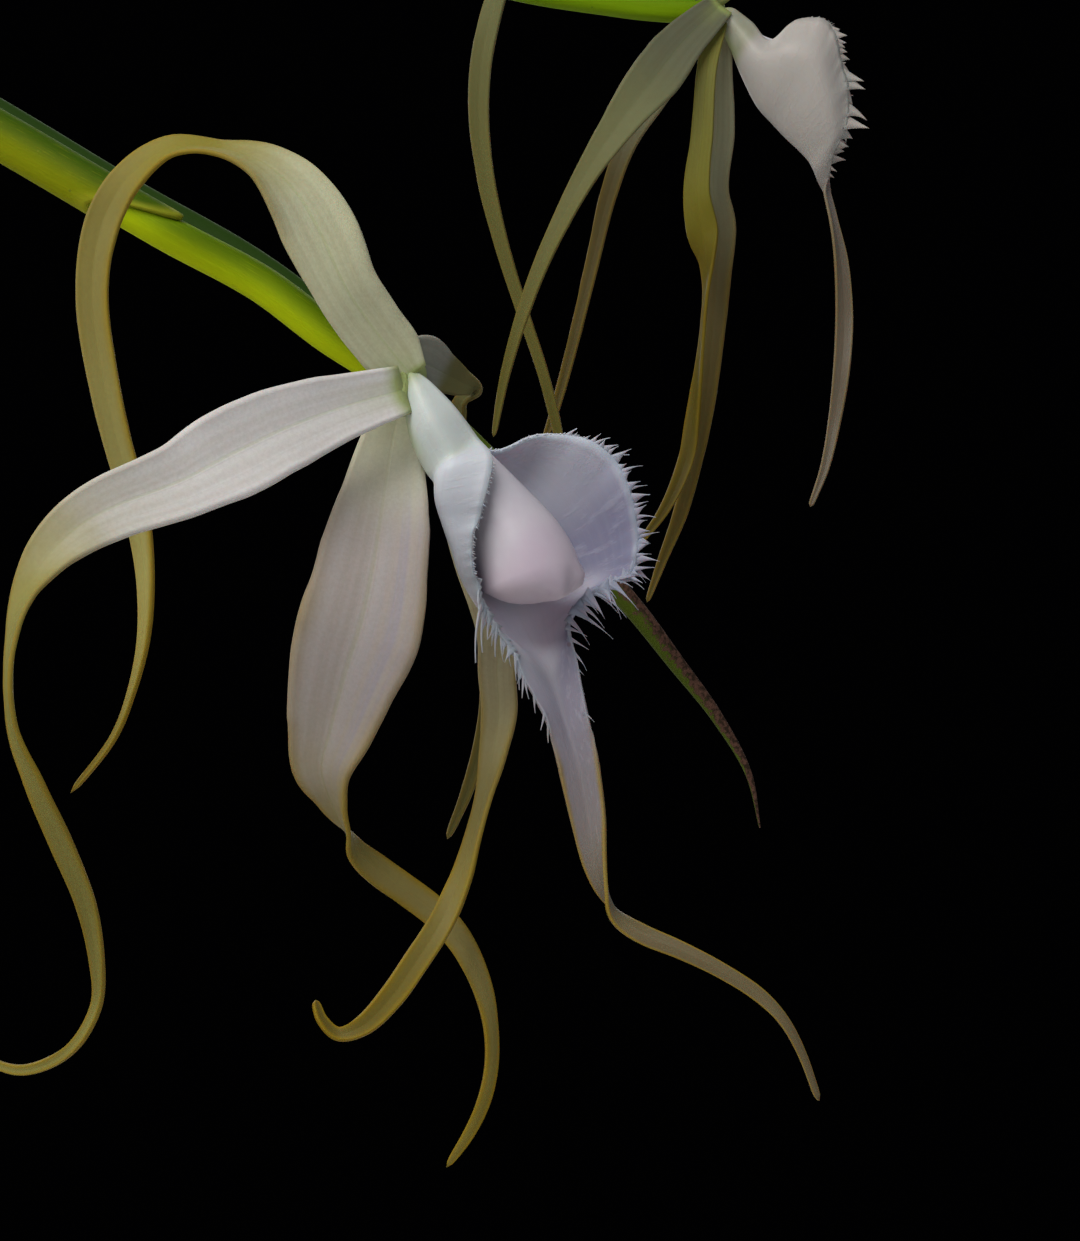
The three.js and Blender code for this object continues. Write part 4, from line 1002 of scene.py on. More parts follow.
class Stem:
    """A round surface along a curve, asked for points by share of its length and angle."""

    def __init__(self, points, radii):
        self.radii = radii
        dense = spline(points, evenly(points, TRACK_STEPS + 1))
        self.length = np.linalg.norm(np.diff(dense, axis=0), axis=1).sum()
        side, other = carried_frames(unit(np.gradient(dense, axis=0)))
        self.tracks = np.hstack([dense, side, other])

    def point(self, share, angle, kept=1.0, grown=0.0):
        share = np.clip(share, 0, 1)
        steps = np.arange(TRACK_STEPS + 1)
        track = [np.interp(share * TRACK_STEPS, steps, values) for values in self.tracks.T]
        track = np.stack(track, axis=1)
        radius = (between(self.radii, share) * kept + grown)[:, None]
        return track[:, :3] + radius * (track[:, 3:6] * math.cos(angle) + track[:, 6:9] * math.sin(angle))

    def rings(self, steps, sides, section, blunt=1.0):
        """Rows of a tube with domed ends. section(angle, share) is the part of the radius kept."""
        first, last = self.radii[0], self.radii[-1] * blunt
        dome = 1 - np.cos(np.linspace(0, math.pi / 2, DOME_RINGS))
        body = np.linspace(first, self.length - last, steps + 1)[1:-1]
        distance = np.concatenate([dome * first, body, self.length - dome[::-1] * last])
        from_start = np.clip(distance / first, 0, 1)
        from_end = np.clip((self.length - distance) / last, 0, 1)
        domed = np.sqrt((from_start * (2 - from_start)) * (from_end * (2 - from_end)))
        share = distance / self.length
        rows = [
            self.point(share, angle, domed * section(angle, share))
            for angle in np.linspace(0, 2 * math.pi, sides + 1)
        ]
        rows[-1] = rows[0]
        return np.stack(rows, axis=1)


# %% [markdown]
# ## Column
#
# Inside the hood lies the column, a thick pinkish white finger that carries the cap with the pollen.
# It swells towards its end and stops in an oblique, rounded face with a small beak. It is a tube with
# a ridge along its back. The cap, its beak and the dents round them are pulled out of the tube's end,
# with a pull that fades away from its middle, as proportional editing does.


# %% Make the columns
def column_finish(name):
    finish = Finish(name, 0.32)
    mottle = finish.noise(180.0, 4.0)
    blush = (finish.along + (mottle - 0.5) * 0.2).smooth(0.55, 1.0)
    body = mottle.smooth(0.3, 0.75).mix((0.56, 0.545, 0.575), (0.52, 0.48, 0.54))
    blushed = (blush * 0.55).mix(body, (0.50, 0.36, 0.46))
    bruise = finish.noise(420.0, 2.0).smooth(0.66, 0.8) * finish.along.smooth(0.86, 0.97)
    bruised = (bruise * 0.6).mix(blushed, (0.42, 0.30, 0.42))
    speck = finish.specks(170.0).smooth(0.02, 0.05)
    finish.set(Base_Color=speck.mix((0.22, 0.17, 0.24), bruised))
    finish.set(Roughness=0.3 + mottle * 0.12, Subsurface_Weight=0.25, Subsurface_Scale=0.002)
    finish.set(Subsurface_Radius=(1.0, 0.6, 0.6), Coat_Weight=0.06)
    finish.bump(mottle, 0.2, 0.00012)
    return finish


def make_column(flower, number, origin, points, radii, pulls, finish):
    def back(angle, share):
        return 1 + 0.06 * math.cos(angle * 2) * np.clip(share * 3 - 1, 0, 1)

    rows = Stem(np.array(points, float) + origin, radii).rings(90, 72, back, blunt=0.6)
    for spot, pull, reach in pulls:
        away = np.linalg.norm(rows - (np.array(spot) + origin), axis=2, keepdims=True)
        rows = rows + np.array(pull) * np.exp(-((away / reach) ** 2))
    make_from_rows(f"{flower}_column", rows, f"flower_{number}_column", finish)
    print(flower, "column rows:", rows.shape[:2], "pulls:", len(pulls))


pink_finish = column_finish("pinkish column")
# Each pull moves the skin round a spot: the spot, how far it moves, and the reach of the pull
make_column(
    "near_flower", 1, NEAR,
    [[0.8, 0.4, -1], [3.4, 0.5, -5], [5.6, 0.9, -8], [7.2, 0.8, -10.4], [8.8, 0.6, -13],
     [10.1, 0.4, -15.2], [10.9, 0.3, -17.2], [11.2, 0.3, -19.3]],
    [0.7, 1.5, 1.9, 2.4, 3, 3.6, 4, 4],
    [
        ([14.6, -0.6, -17.2], [0.9, -0.2, -0.1], 0.75), ([13.3, -1.6, -18.9], [0.55, -0.5, -0.35], 1.3),
        ([14.0, -1.8, -17.9], [-0.25, 0.35, 0.1], 0.45), ([11.6, -2.2, -19.6], [0.0, 0.3, 0.25], 0.7),
        ([8.2, -1.5, -18.6], [0.35, 0.0, -0.3], 1.4),
    ],
    pink_finish,
)
make_column(
    "rear_flower", 2, REAR,
    [[0.8, 0, -0.6], [3.6, 0, -3.4], [5.4, 0, -4.9], [7.4, 0, -6], [9.2, 0, -7], [12, 0, -8.8]],
    [0.6, 1.1, 1.4, 1.9, 2.3, 2.2],
    [([12.6, 0.0, -9.0], [0.6, 0.0, -0.4], 0.7)],
    pink_finish,
)

# %% [markdown]
# ## The point where a flower's parts meet
#
# Sepals, petals and lip all join the end of the stalk in one olive-green knot. On the real flower it
# has no edge of its own, so here a small sphere, squeezed and roughened in edit mode, fills the space
# between the bases of the tepals and hides where they start. On the near flower a second, narrow one
# makes the green seam that runs down between the near petal and the lip.


# %% Make the stalk finish and the knots
def stalk_finish(name, lit, shaded, pale_end=False):
    finish = Finish(name, 0.6)
    mottle = finish.noise(90.0, 4.0)
    streaks = finish.streaks(26.0, 9.0)
    fine = finish.streaks(90.0, 24.0, 3.0)
    # Painted light and shade: one side of the tube takes the lit colour and the other the shaded one.
    painted_light_side = 1.0 - (finish.off_middle() + (mottle - 0.5) * 0.1).smooth(0.16, 0.42)
    body = (painted_light_side * 0.85 + streaks * 0.2).mix(shaded, lit)
    lined = (fine.smooth(0.55, 0.8) * 0.3).mix(body, (lit[0] * 1.3, lit[1] * 1.2, lit[2] + 0.01))
    if pale_end:
        lined = (finish.along.smooth(0.95, 1.0) * 0.6).mix(lined, (0.36, 0.36, 0.02))
    dot = finish.specks(420.0).smooth(0.02, 0.07)
    finish.set(Base_Color=dot.mix((lit[0] * 0.6, lit[1] * 0.65, 0.01), lined))
    finish.set(Roughness=0.55 + mottle * 0.16, Subsurface_Weight=0.08, Subsurface_Scale=0.001)
    finish.set(Specular_IOR_Level=0.08)
    finish.bump(streaks * 0.7 + fine * 0.4, 0.35, 0.0002)
    return finish


# Painted shade: the rear flower's stalk is a darker copy, and the knots also carry painted lit and shaded
# sides.
fresh_stalk = stalk_finish("yellow-green stalk", (0.43, 0.53, 0.001), (0.09, 0.18, 0.001))
dim_stalk = stalk_finish("shaded stalk", (0.17, 0.29, 0.001), (0.04, 0.10, 0.001))
knot_finish = stalk_finish("olive knot", (0.34, 0.395, 0.15), (0.27, 0.33, 0.11))


def make_knot(name, place, radius, shape):
    deselect()
    bpy.ops.mesh.primitive_uv_sphere_add(
        segments=32, ring_count=20, radius=radius * MM, location=Vector(place) * MM
    )
    knot = bpy.context.object
    knot.name = name
    knot.scale = shape
    bpy.ops.object.transform_apply(location=True, rotation=True, scale=True)
    in_edit_mode(knot, lambda: bpy.ops.transform.vertex_random(offset=0.09 * MM, uniform=0.4, seed=4))
    settle(knot, [], knot_finish)
    print(name, "size in mm:", [round(side / MM, 1) for side in knot.dimensions])


make_knot("near_flower_knot", NEAR + [0.7, 1.5, -0.1], 1.7, (0.85, 1.1, 1.15))
make_knot("near_flower_seam", NEAR + [0.2, -0.25, -1.8], 1.7, (0.38, 0.5, 1.15))
make_knot("rear_flower_knot", REAR + [0.2, 1.2, -0.4], 1.35, (0.75, 1.1, 1.15))

# %% [markdown]
# ## Stalks and their sheaths
#
# Each flower hangs on a juicy yellow-green stalk that thickens into a lightly ribbed ovary at the
# flower. Its lower half sits in a green sheath whose mouth is cut very obliquely, like the nib of a
# pen. The sheath is laid as an open sleeve whose rings end earlier on one side than on the other.

# %% Make the stalks
STALK_POINTS = {
    1: [
        [41.9, -54.3, 221.2], [44.5, -56.2, 223.9], [49, -57, 224.4], [55, -57, 222.9], [62, -56.6, 220],
        [71, -56, 215.8], [80.9, -55.5, 210.4], [89.4, -55.8, 205.4], [95.4, -56.2, 201.9],
        [103.1, -57, 197.7], [109, -58, 193.3], [113, -58.9, 190.8], [114.8, -59.7, 189.8],
    ],
    2: [
        [65.1, 37.1, 265.5], [68.6, 38.2, 267.4], [73, 40, 267.6], [79, 42.5, 265.4], [88, 46, 260.2],
        [104, 52, 251.8], [122, 56, 246], [134.9, 57, 244], [141, 57, 243.3], [147.7, 57, 243.1],
    ],
}
STALK_RADII = [1.78, 1.55, 1.55, 1.55, 1.55, 1.55, 1.58, 1.64, 1.7]
STALK_FINISHES = {1: fresh_stalk, 2: dim_stalk}
SHEATH_RANGES = {1: (0.12, 0.65), 2: (0.12, 0.6)}
SHEATH_GAP = 0.3
SHEATH_THICKNESS = 0.4


def ovary(angle, share):
    ribs = np.clip((share - 0.72) * 6, 0, 1)
    return 1 - 0.05 * ribs * (0.5 + 0.5 * math.cos(angle * 6))


def sleeve_rows(stem, begin, end, steps, sides, mouth, gap, ripple=0.0, seed=5):
    """Rows of a sleeve round a stem. mouth(angle) says how much further the sleeve reaches."""
    rows = []
    for angle in np.linspace(0, 2 * math.pi, sides + 1):
        share = np.linspace(begin, end + mouth(angle), steps + 1)
        wave = ripple * waves(seed, np.full(steps + 1, 3.0 * math.sin(angle)) + share * 2.5, 1.7)
        rows.append(stem.point(share, angle, 1.0, gap + wave))
    rows[-1] = rows[0]
    return np.stack(rows, axis=1)


def nib(angle):
    """How much further a stalk's sheath reaches on each side, cut like the nib of a pen."""
    return 0.055 * math.cos(angle - 0.6) + 0.03 * math.cos(2 * angle)


# Painted shade: the sheath's shaded side is a near-black green.
sheath_green = stalk_finish(
    "green stalk sheath", (0.25, 0.275, 0.001), (0.02, 0.065, 0.001), pale_end=True
)
for number, points in STALK_POINTS.items():
    stem = Stem(points, STALK_RADII)
    rows = stem.rings(150, 36, ovary)
    make_from_rows(f"flower_stalk_{number}", rows, f"pedicel_{number}", STALK_FINISHES[number])
    rows = sleeve_rows(stem, *SHEATH_RANGES[number], 90, 40, nib, SHEATH_GAP)
    sheath = f"stalk_sheath_{number}"
    make_from_rows(sheath, rows, f"spathe_{number}", sheath_green, SHEATH_THICKNESS)
    print("stalk", number, "length in mm:", round(stem.length))

# %% [markdown]
# ## Leaves
#
# The leaves are terete, which means round like a knitting needle: thick, tapering to a pale point,
# with one shallow groove along the side that faces the sun. That side blushes dark purple brown in
# fine speckles, the other stays green. Angle runs round the leaf in U, so the blush is a soft mask on
# U, broken up by noise in small dots.


# %% Make the leaf finish
def leaf_finish(name, green, dark_green, blush_range, blush_amount, blush_start=(0.0, 0.08), painted_shade_green=None):
    """A green leaf with a purple blush that sets in between two places. The last argument, if given, is a
    darker green laid before them as painted shade.
    """
    finish = Finish(name, 0.4)
    along = finish.along
    start, full = blush_start
    mottle = finish.noise(70.0, 4.0)
    grain = finish.noise(900.0, 3.0)
    dots = finish.noise(2600.0, 2.0, 0.6)
    streaks = finish.streaks(22.0, 60.0)
    body = (streaks * 0.6 + mottle * 0.5 - 0.05).mix(dark_green, green)
    # Painted shade: the leaf's first stretch takes a darker green, for the shade it runs through.
    if painted_shade_green:
        body = along.smooth(start - 0.16, start).mix(painted_shade_green, body)
    sunny = finish.off_middle() + along.smooth(start, 1.0) * 0.2
    ragged = sunny + (mottle - 0.5) * 0.12 + (grain - 0.5) * 0.22 + (dots - 0.5) * 0.35
    blush = ragged.smooth(*blush_range) * along.smooth(start, full)
    # The purple blush is the leaf's own colour; its darkest tone is partly painted shade.
    purple = dots.smooth(0.38, 0.62).mix((0.022, 0.007, 0.006), (0.10, 0.042, 0.031))
    blushed = (blush * blush_amount).mix(body, purple)
    tipped = (along.smooth(0.965, 0.99) * 0.8).mix(blushed, (0.36, 0.24, 0.16))
    based = ((1.0 - along.smooth(0.0, 0.04)) * 0.6).mix(tipped, (0.30, 0.34, 0.10))
    finish.set(Base_Color=based, Roughness=0.5 + grain * 0.2, Specular_IOR_Level=0.15)
    finish.bump(grain * 0.6 + streaks * 0.5 + dots * 0.3, 0.35, 0.00015)
    return finish


# Painted shade: the speckled leaf's greens are darkened and its first stretch is near-black green, for the
# deep shade it lies in.
shady_leaf = leaf_finish(
    "speckled leaf", (0.085, 0.115, 0.004), (0.045, 0.075, 0.003),
    (0.24, 0.33), 0.94, (0.70, 0.80), (0.016, 0.044, 0.002),
)
green_leaf = leaf_finish("green leaf", (0.12, 0.20, 0.035), (0.045, 0.10, 0.015), (0.3, 0.5), 0.35)

# %% Make the leaves
# Canes 1 and 2 end in a leaf and a flower stalk, side by side, and the others in a leaf alone
GROWTHS = {
    1: {
        "beside_stalk": True,
        "cane": [[24, -13, 93.5], [24, -16, 130], [27, -28, 172], [33, -43, 206], [42, -52, 221]],
        "leaf": [
            [42.6, -50.5, 222.2], [46, -51.2, 225.8], [52, -50, 225.3], [61, -48, 222.5], [70, -46.5, 218.3],
            [79.1, -45, 213.2], [90.3, -43.5, 206.6], [101.5, -42, 200.4], [111.6, -41.5, 192.7],
            [121.5, -41.5, 183.8], [134.2, -41.5, 171.4], [139, -41.5, 165.3], [142.4, -41.5, 160.8],
            [145.3, -41.5, 155.6], [146.3, -41.5, 150.8],
        ],
        "radii": [1.7, 1.9, 2.0, 2.0, 2.0, 2.0, 1.95, 1.85, 1.75, 1.6, 1.35, 1.12, 0.88, 0.52, 0.07],
    },
    2: {
        "beside_stalk": True,
        "cane": [[14, -7, 94.4], [16, 4, 140], [24, 20, 195], [42, 33, 245], [64, 39, 265]],
        "leaf": [
            [63.8, 40.9, 265.5], [68, 42.6, 270], [74, 54, 288], [72, 74, 306], [58, 98, 318],
            [30, 130, 308], [2, 150, 270], [-20, 158, 222],
        ],
    },
    3: {
        "cane": [[4, -2, 95.5], [-4, 10, 135], [-16, 17, 182]],
        "leaf": [[-32, 24, 235], [-62, 30, 275], [-100, 34, 285], [-135, 36, 262], [-155, 38, 222]],
    },
    4: {
        "cane": [[-6, 1.2, 95.1], [-12, -6, 130], [-22, -18, 165]],
        "leaf": [[-38, -32, 215], [-68, -54, 250], [-106, -76, 252], [-138, -94, 220], [-151, -102, 186]],
    },
    5: {
        "cane": [[-15, 3.3, 95.2], [-30, 8, 120], [-46, 14, 145]],
        "leaf": [[-66, 22, 180], [-100, 36, 202], [-137, 50, 192], [-162, 58, 158]],
    },
    6: {
        "cane": [[-24, 7, 93.9], [-31, 24, 118], [-37, 44, 140]],
        "leaf": [[-44, 70, 180], [-50, 104, 205], [-52, 140, 200], [-52, 164, 168]],
    },
    7: {
        "cane": [[31, -17.4, 92.6], [34, -27, 112], [35, -37, 130]],
        "leaf": [[36, -58, 160], [32, -92, 174], [24, -122, 160], [17, -138, 130]],
    },
}
CANE_RADII = [2.5, 2.0, 2.0, 2.0, 2.1]
CANE_SUNK = 2.6
LEAF_RADII = [radius * 2.1 for radius in (0.8, 0.97, 1, 1, 0.96, 0.88, 0.75, 0.55, 0.15)]
JOINT_GAP = 0.45
JOINT_STRAIGHT = 9


def leaf_points(growth):
    """A leaf that grows alone on its cane starts in line with it."""
    if growth.get("beside_stalk"):
        return growth["leaf"]
    cane = spline(growth["cane"], [0.999, 1.0])
    heading = unit(cane[1] - cane[0])
    return [cane[1] + heading * JOINT_GAP, cane[1] + heading * JOINT_STRAIGHT, *growth["leaf"]]


def grooved(angle, share):
    turn = (angle + math.pi) % (2 * math.pi) - math.pi
    groove = math.exp(-((turn / 0.32) ** 2)) * np.clip(share * 12, 0, 1) * np.clip((1 - share) * 8, 0, 1)
    return 1 - 0.17 * groove


for number, growth in GROWTHS.items():
    stem = Stem(leaf_points(growth), growth.get("radii", LEAF_RADII))
    finish = shady_leaf if number == 1 else green_leaf
    make_from_rows(f"terete_leaf_{number}", stem.rings(170, 40, grooved), f"leaf_{number}", finish)
    print("leaf", number, "length in mm:", round(stem.length))

# %% [markdown]
# ## Canes, papery sheaths and rhizome
#
# Each leaf stands on a slender cane with a few swollen nodes. Its lower part is wrapped in an old
# sheath that has dried to paper, ribbed lengthwise and torn at its top. The canes rise from a rhizome
# that creeps over the bark with short scaly joints. The nodes and scales are in the tubes' radius.


# %% Make the cane and rhizome finishes
CANE_PARTS = 5
SCALES = 12


def cane_finish(name, green, dull, ring_colour, rings):
    finish = Finish(name, 0.5)
    mottle = finish.noise(60.0, 4.0)
    streaks = finish.streaks(30.0, 7.0)
    fibres = finish.streaks(110.0, 12.0, 3.0)
    body = (streaks * 0.7 + mottle * 0.4 - 0.05).mix(green, dull)
    ring = ((finish.along * (rings * 2 * math.pi)).math("COSINE") * 0.5 + 0.5).smooth(0.93, 1.0)
    ringed = (ring * 0.7).mix(body, ring_colour)
    scurf = finish.noise(300.0, 3.0).smooth(0.56, 0.72)
    finish.set(Base_Color=(scurf * 0.3).mix(ringed, (0.42, 0.36, 0.24)), Roughness=0.42 + mottle * 0.25)
    finish.bump(fibres * 0.8 + streaks * 0.4, 0.5, 0.0003)
    return finish


def paper_finish(name):
    finish = Finish(name, 0.75)
    fibres = finish.streaks(80.0, 5.0)
    wide = finish.streaks(14.0, 4.0, 3.0)
    ribs = (finish.across * (26 * 2 * math.pi)).math("SINE") * 0.5 + 0.5
    body = (fibres * 0.9 - 0.05).mix((0.62, 0.53, 0.36), (0.40, 0.30, 0.17))
    stained = (wide.smooth(0.52, 0.75) * 0.7).mix(body, (0.24, 0.16, 0.09))
    rim = finish.along.smooth(0.86, 1.0)
    rimmed = (rim * 0.5).mix(stained, (0.72, 0.66, 0.52))
    finish.set(Base_Color=rimmed, Roughness=0.65 + fibres * 0.25)
    finish.bump(ribs * 0.7 + fibres * 0.6, 0.7, 0.0003)
    return finish


cane_green = cane_finish(
    "green cane", (0.22, 0.30, 0.06), (0.13, 0.20, 0.04), (0.36, 0.30, 0.14), CANE_PARTS
)
rhizome_finish = cane_finish(
    "scaly rhizome", (0.20, 0.19, 0.07), (0.14, 0.10, 0.05), (0.34, 0.26, 0.15), SCALES
)
dry_paper = paper_finish("dry sheath paper")


# %% Make the canes, their sheaths and the rhizome
NODE_SWELL = 0.16
NODE_REACH = 0.012
PAPER_RANGE = (0.04, 0.45)
PAPER_GAP = 0.55
PAPER_THICKNESS = 0.22


def with_nodes(angle, share):
    """A radius that swells a little at each node of a cane."""
    total = np.ones_like(share)
    for step in range(1, CANE_PARTS):
        total = total + NODE_SWELL * np.exp(-(((share - step / CANE_PARTS) / NODE_REACH) ** 2))
    return total


def scaly(angle, share):
    """Short overlapping scales, each widest at its own end."""
    place = share * SCALES
    return 0.9 + 0.16 * (place - np.floor(place)) ** 2 + 0.03 * math.cos(angle * 5)


def torn_mouth(seed):
    chance = random.Random(seed)
    phases = [chance.random() * 6 for _ in range(3)]

    def mouth(angle):
        rough = 0.014 * math.sin(angle * 5 + phases[0]) + 0.010 * math.sin(angle * 11 + phases[1])
        split = 0.06 * math.exp(-(((angle - phases[2]) / 0.22) ** 2))
        return 0.05 * math.cos(angle - phases[2]) + rough - split

    return mouth


for number, growth in GROWTHS.items():
    base, following = (np.array(point, float) for point in growth["cane"][:2])
    sunk = base - unit(following - base) * CANE_SUNK
    stem = Stem([sunk, *growth["cane"][1:]], CANE_RADII)
    rows = stem.rings(150, 28, with_nodes)
    make_from_rows(f"stem_cane_{number}", rows, f"cane_{number}", cane_green)
    rows = sleeve_rows(stem, *PAPER_RANGE, 70, 72, torn_mouth(number), PAPER_GAP, 0.3, number)
    sheath = f"papery_sheath_{number}"
    make_from_rows(sheath, rows, f"cane_sheath_{number}", dry_paper, PAPER_THICKNESS)

RHIZOME_POINTS = [[-34, 12, 88.9], [-18, 4, 90.7], [0, 0, 91.6], [16, -8, 90.7], [32, -18, 88.9]]
rhizome_stem = Stem(RHIZOME_POINTS, [2.3, 3, 3.1, 3, 2.6])
rhizome_rows = rhizome_stem.rings(160, 28, scaly)
make_from_rows("creeping_rhizome", rhizome_rows, "rhizome", rhizome_finish)
print("canes:", len(GROWTHS), "rhizome length in mm:", round(rhizome_stem.length))

# %% [markdown]
# ## Roots
#
# Orchid roots wear a silvery coat of spongy cells and only their growing tip is green. They creep
# over the bark and two of them climb over the rim and hang outside. The tube's radius wanders a
# little, because a real root swells and narrows where it touched something.


# %% Make the roots
def root_finish(name):
    finish = Finish(name, 0.8)
    grain = finish.noise(500.0, 4.0)
    mottle = finish.noise(90.0, 4.0)
    body = mottle.smooth(0.3, 0.75).mix((0.60, 0.60, 0.53), (0.44, 0.45, 0.36))
    dusty = grain.smooth(0.5, 0.75).mix(body, (0.70, 0.70, 0.64))
    stained = finish.noise(40.0, 3.0).smooth(0.58, 0.7).mix(dusty, (0.34, 0.30, 0.20))
    tip = (finish.along + (grain - 0.5) * 0.02).smooth(0.9, 0.95)
    tipped = (tip * 0.9).mix(stained, (0.22, 0.36, 0.09))
    finish.set(Base_Color=tipped, Roughness=0.85 - tip * 0.5)
    finish.bump(grain + mottle * 0.6, 0.4, 0.0002)
    return finish


silver_root = root_finish("silvery root")
ROOT_POINTS = {
    1: [
        [33.3, -18.9, 88.9], [37.3, -26.1, 95.5], [37.4, -29.2, 101], [40.6, -34.1, 103.6],
        [44.5, -38.7, 102.5], [45.7, -41.2, 97], [44.6, -41.6, 84], [41, -39.5, 72], [38.5, -38.5, 64],
    ],
    2: [[26.6, -18.8, 89.3], [22, -28, 91], [12, -36, 90.5], [0, -40, 90]],
    3: [
        [-34.8, 12.4, 88.9], [-39.9, 16.1, 92], [-42.5, 18.9, 97.5], [-43.5, 20.3, 101.2],
        [-47.2, 24.1, 103.6], [-52.1, 27.7, 102.5], [-53.6, 29.7, 96.5], [-52.8, 30.5, 86], [-49.7, 29.9, 76],
    ],
    4: [[-26.6, 11.8, 89.6], [-20, 24, 90.6], [-6, 33, 90.6], [10, 37, 90]],
}
ROOT_RADII = [1.28, 1.6, 1.6, 1.6, 0.9]


def wandering(seed):
    def section(angle, share):
        return 1 + 0.07 * waves(seed, share * 10, 2.2) + 0.03 * waves(seed + 1, share * 30 + angle, 2.0)

    return section


for number, points in ROOT_POINTS.items():
    stem = Stem(points, ROOT_RADII)
    rows = stem.rings(120, 24, wandering(number))
    make_from_rows(f"aerial_root_{number}", rows, f"root_{number}", silver_root)
print("roots:", len(ROOT_POINTS))

# %% [markdown]
# ## Clay pot
#
# The pot is thrown or pressed from red clay: a cone with a thick rim and four drain holes. One way is
# to spin a profile. Here a cylinder is shaped as a potter might think of it: the top is opened out,
# stepped out and drawn up into the rim, then the inside is inset and pushed down to the floor. The
# drain holes are cut with a Boolean, and a small Bevel rounds every edge before the faces are smoothed.

# %% Shape the pot
POT_HEIGHT = 100
RIM_RADIUS = 58.5
RIM_HEIGHT = 18
FOOT_RADIUS = 41
SHOULDER_RADIUS = 53.5
POT_WALL = 4.5
POT_FLOOR = 6
DRAIN_HOLES = 4
DRAIN_RADIUS = 5
DRAIN_CIRCLE = 23
DRILL_LENGTH = 20
EDGE_ROUNDING = 1.4
SHOULDER = POT_HEIGHT - RIM_HEIGHT
BORE_SLOPE = (SHOULDER_RADIUS - FOOT_RADIUS) / SHOULDER


def bore_radius(height):
    return FOOT_RADIUS - POT_WALL + BORE_SLOPE * height


def select_faces(piece, test):
    """In edit mode, selects only the faces whose middle passes the test."""
    bpy.ops.mesh.select_all(action="DESELECT")
    bpy.ops.object.mode_set(mode="OBJECT")
    for face in piece.data.polygons:
        face.select = bool(test(face.center / MM, face.normal))
    bpy.ops.object.mode_set(mode="EDIT")


def scale_flat(factor):
    bpy.ops.transform.resize(value=(factor, factor, 1), center_override=(0, 0, 0))


def raise_faces(height):
    move = {"value": (0, 0, height * MM)}
    bpy.ops.mesh.extrude_region_move(TRANSFORM_OT_translate=move)


deselect()
pot_middle = (0, 0, SHOULDER * MM / 2)
bpy.ops.mesh.primitive_cylinder_add(
    vertices=128, radius=FOOT_RADIUS * MM, depth=SHOULDER * MM, location=pot_middle, calc_uvs=False
)
pot = bpy.context.object
pot.name = "clay_pot"
bpy.ops.object.transform_apply(location=True, rotation=True, scale=True)
bpy.ops.object.mode_set(mode="EDIT")
bpy.ops.mesh.select_mode(type="FACE")
select_faces(pot, lambda place, normal: normal.z > 0.9)
scale_flat(SHOULDER_RADIUS / FOOT_RADIUS)
raise_faces(0)
scale_flat(RIM_RADIUS / SHOULDER_RADIUS)
raise_faces(RIM_HEIGHT)
raise_faces(0)
scale_flat(bore_radius(POT_HEIGHT) / RIM_RADIUS)
raise_faces(POT_FLOOR - POT_HEIGHT)
scale_flat(bore_radius(POT_FLOOR) / bore_radius(POT_HEIGHT))
bpy.ops.object.mode_set(mode="OBJECT")

for hole in range(DRAIN_HOLES):
    angle = math.pi / 4 + hole * 2 * math.pi / DRAIN_HOLES
    spot = (DRAIN_CIRCLE * MM * math.cos(angle), DRAIN_CIRCLE * MM * math.sin(angle), POT_FLOOR * MM / 2)
    deselect()
    bpy.ops.mesh.primitive_cylinder_add(
        vertices=40, radius=DRAIN_RADIUS * MM, depth=DRILL_LENGTH * MM, location=spot
    )
    drill = bpy.context.object
    apply_modifier(pot, "BOOLEAN", operation="DIFFERENCE", object=drill, solver="EXACT")
    bpy.data.objects.remove(drill)
rounding = {"width": EDGE_ROUNDING * MM, "segments": 4, "limit_method": "ANGLE"}
apply_modifier(pot, "BEVEL", angle_limit=math.radians(40), **rounding)
choose(pot)
bpy.ops.object.shade_smooth_by_angle(angle=math.radians(35))
print("pot faces:", len(pot.data.polygons), "height in mm:", round(pot.dimensions.z / MM, 1))

# %% [markdown]
# Used clay is never one red. Salts from the water bloom as pale clouds near the foot and under the
# rim, the damp lower wall is darker, and fine rings remain from the making. The height of a point
# above the foot drives these zones, and noise breaks their edges.

# %% Make the clay finish
clay = Finish("used red clay", 0.85)
height = clay.wire.node("ShaderNodeSeparateXYZ", sockets={0: clay.place}, output=2) * (1 / MM)
cloud = clay.noise(26.0, 5.0, 0.62)
patch = clay.noise(60.0, 5.0, 0.6)
grit = clay.noise(700.0, 4.0)
turning = clay.layers((30, 30, 900), 3.0)
warm = cloud.smooth(0.35, 0.68).mix((0.47, 0.19, 0.085), (0.56, 0.26, 0.13))
damp = (1.0 - (height + (cloud - 0.5) * 60.0).smooth(14.0, 62.0)) * 0.5
damped = damp.mix(warm, (0.27, 0.11, 0.055))
bloom_low = (1.0 - (height + (patch - 0.5) * 50.0).smooth(4.0, 30.0)) * patch.smooth(0.42, 0.6)
bloom_rim = (height + (patch - 0.5) * 30.0).smooth(84.0, 99.0) * cloud.smooth(0.45, 0.66)
bloom = (bloom_low * 0.75 + bloom_rim * 0.6).math("MINIMUM", 0.85)
bloomed = bloom.mix(damped, (0.70, 0.62, 0.53))
algae = (1.0 - (height + (cloud - 0.5) * 46.0).smooth(2.0, 26.0)) * cloud.smooth(0.5, 0.64) * 0.45
greened = algae.mix(bloomed, (0.16, 0.19, 0.07))
speckled = (grit.smooth(0.62, 0.74) * 0.35).mix(greened, (0.22, 0.10, 0.06))
clay.set(Base_Color=speckled, Roughness=0.78 + patch * 0.2 - damp * 0.2)
clay.bump(grit * 0.35 + turning * 0.7 + patch * 0.4, 0.55, 0.0003)
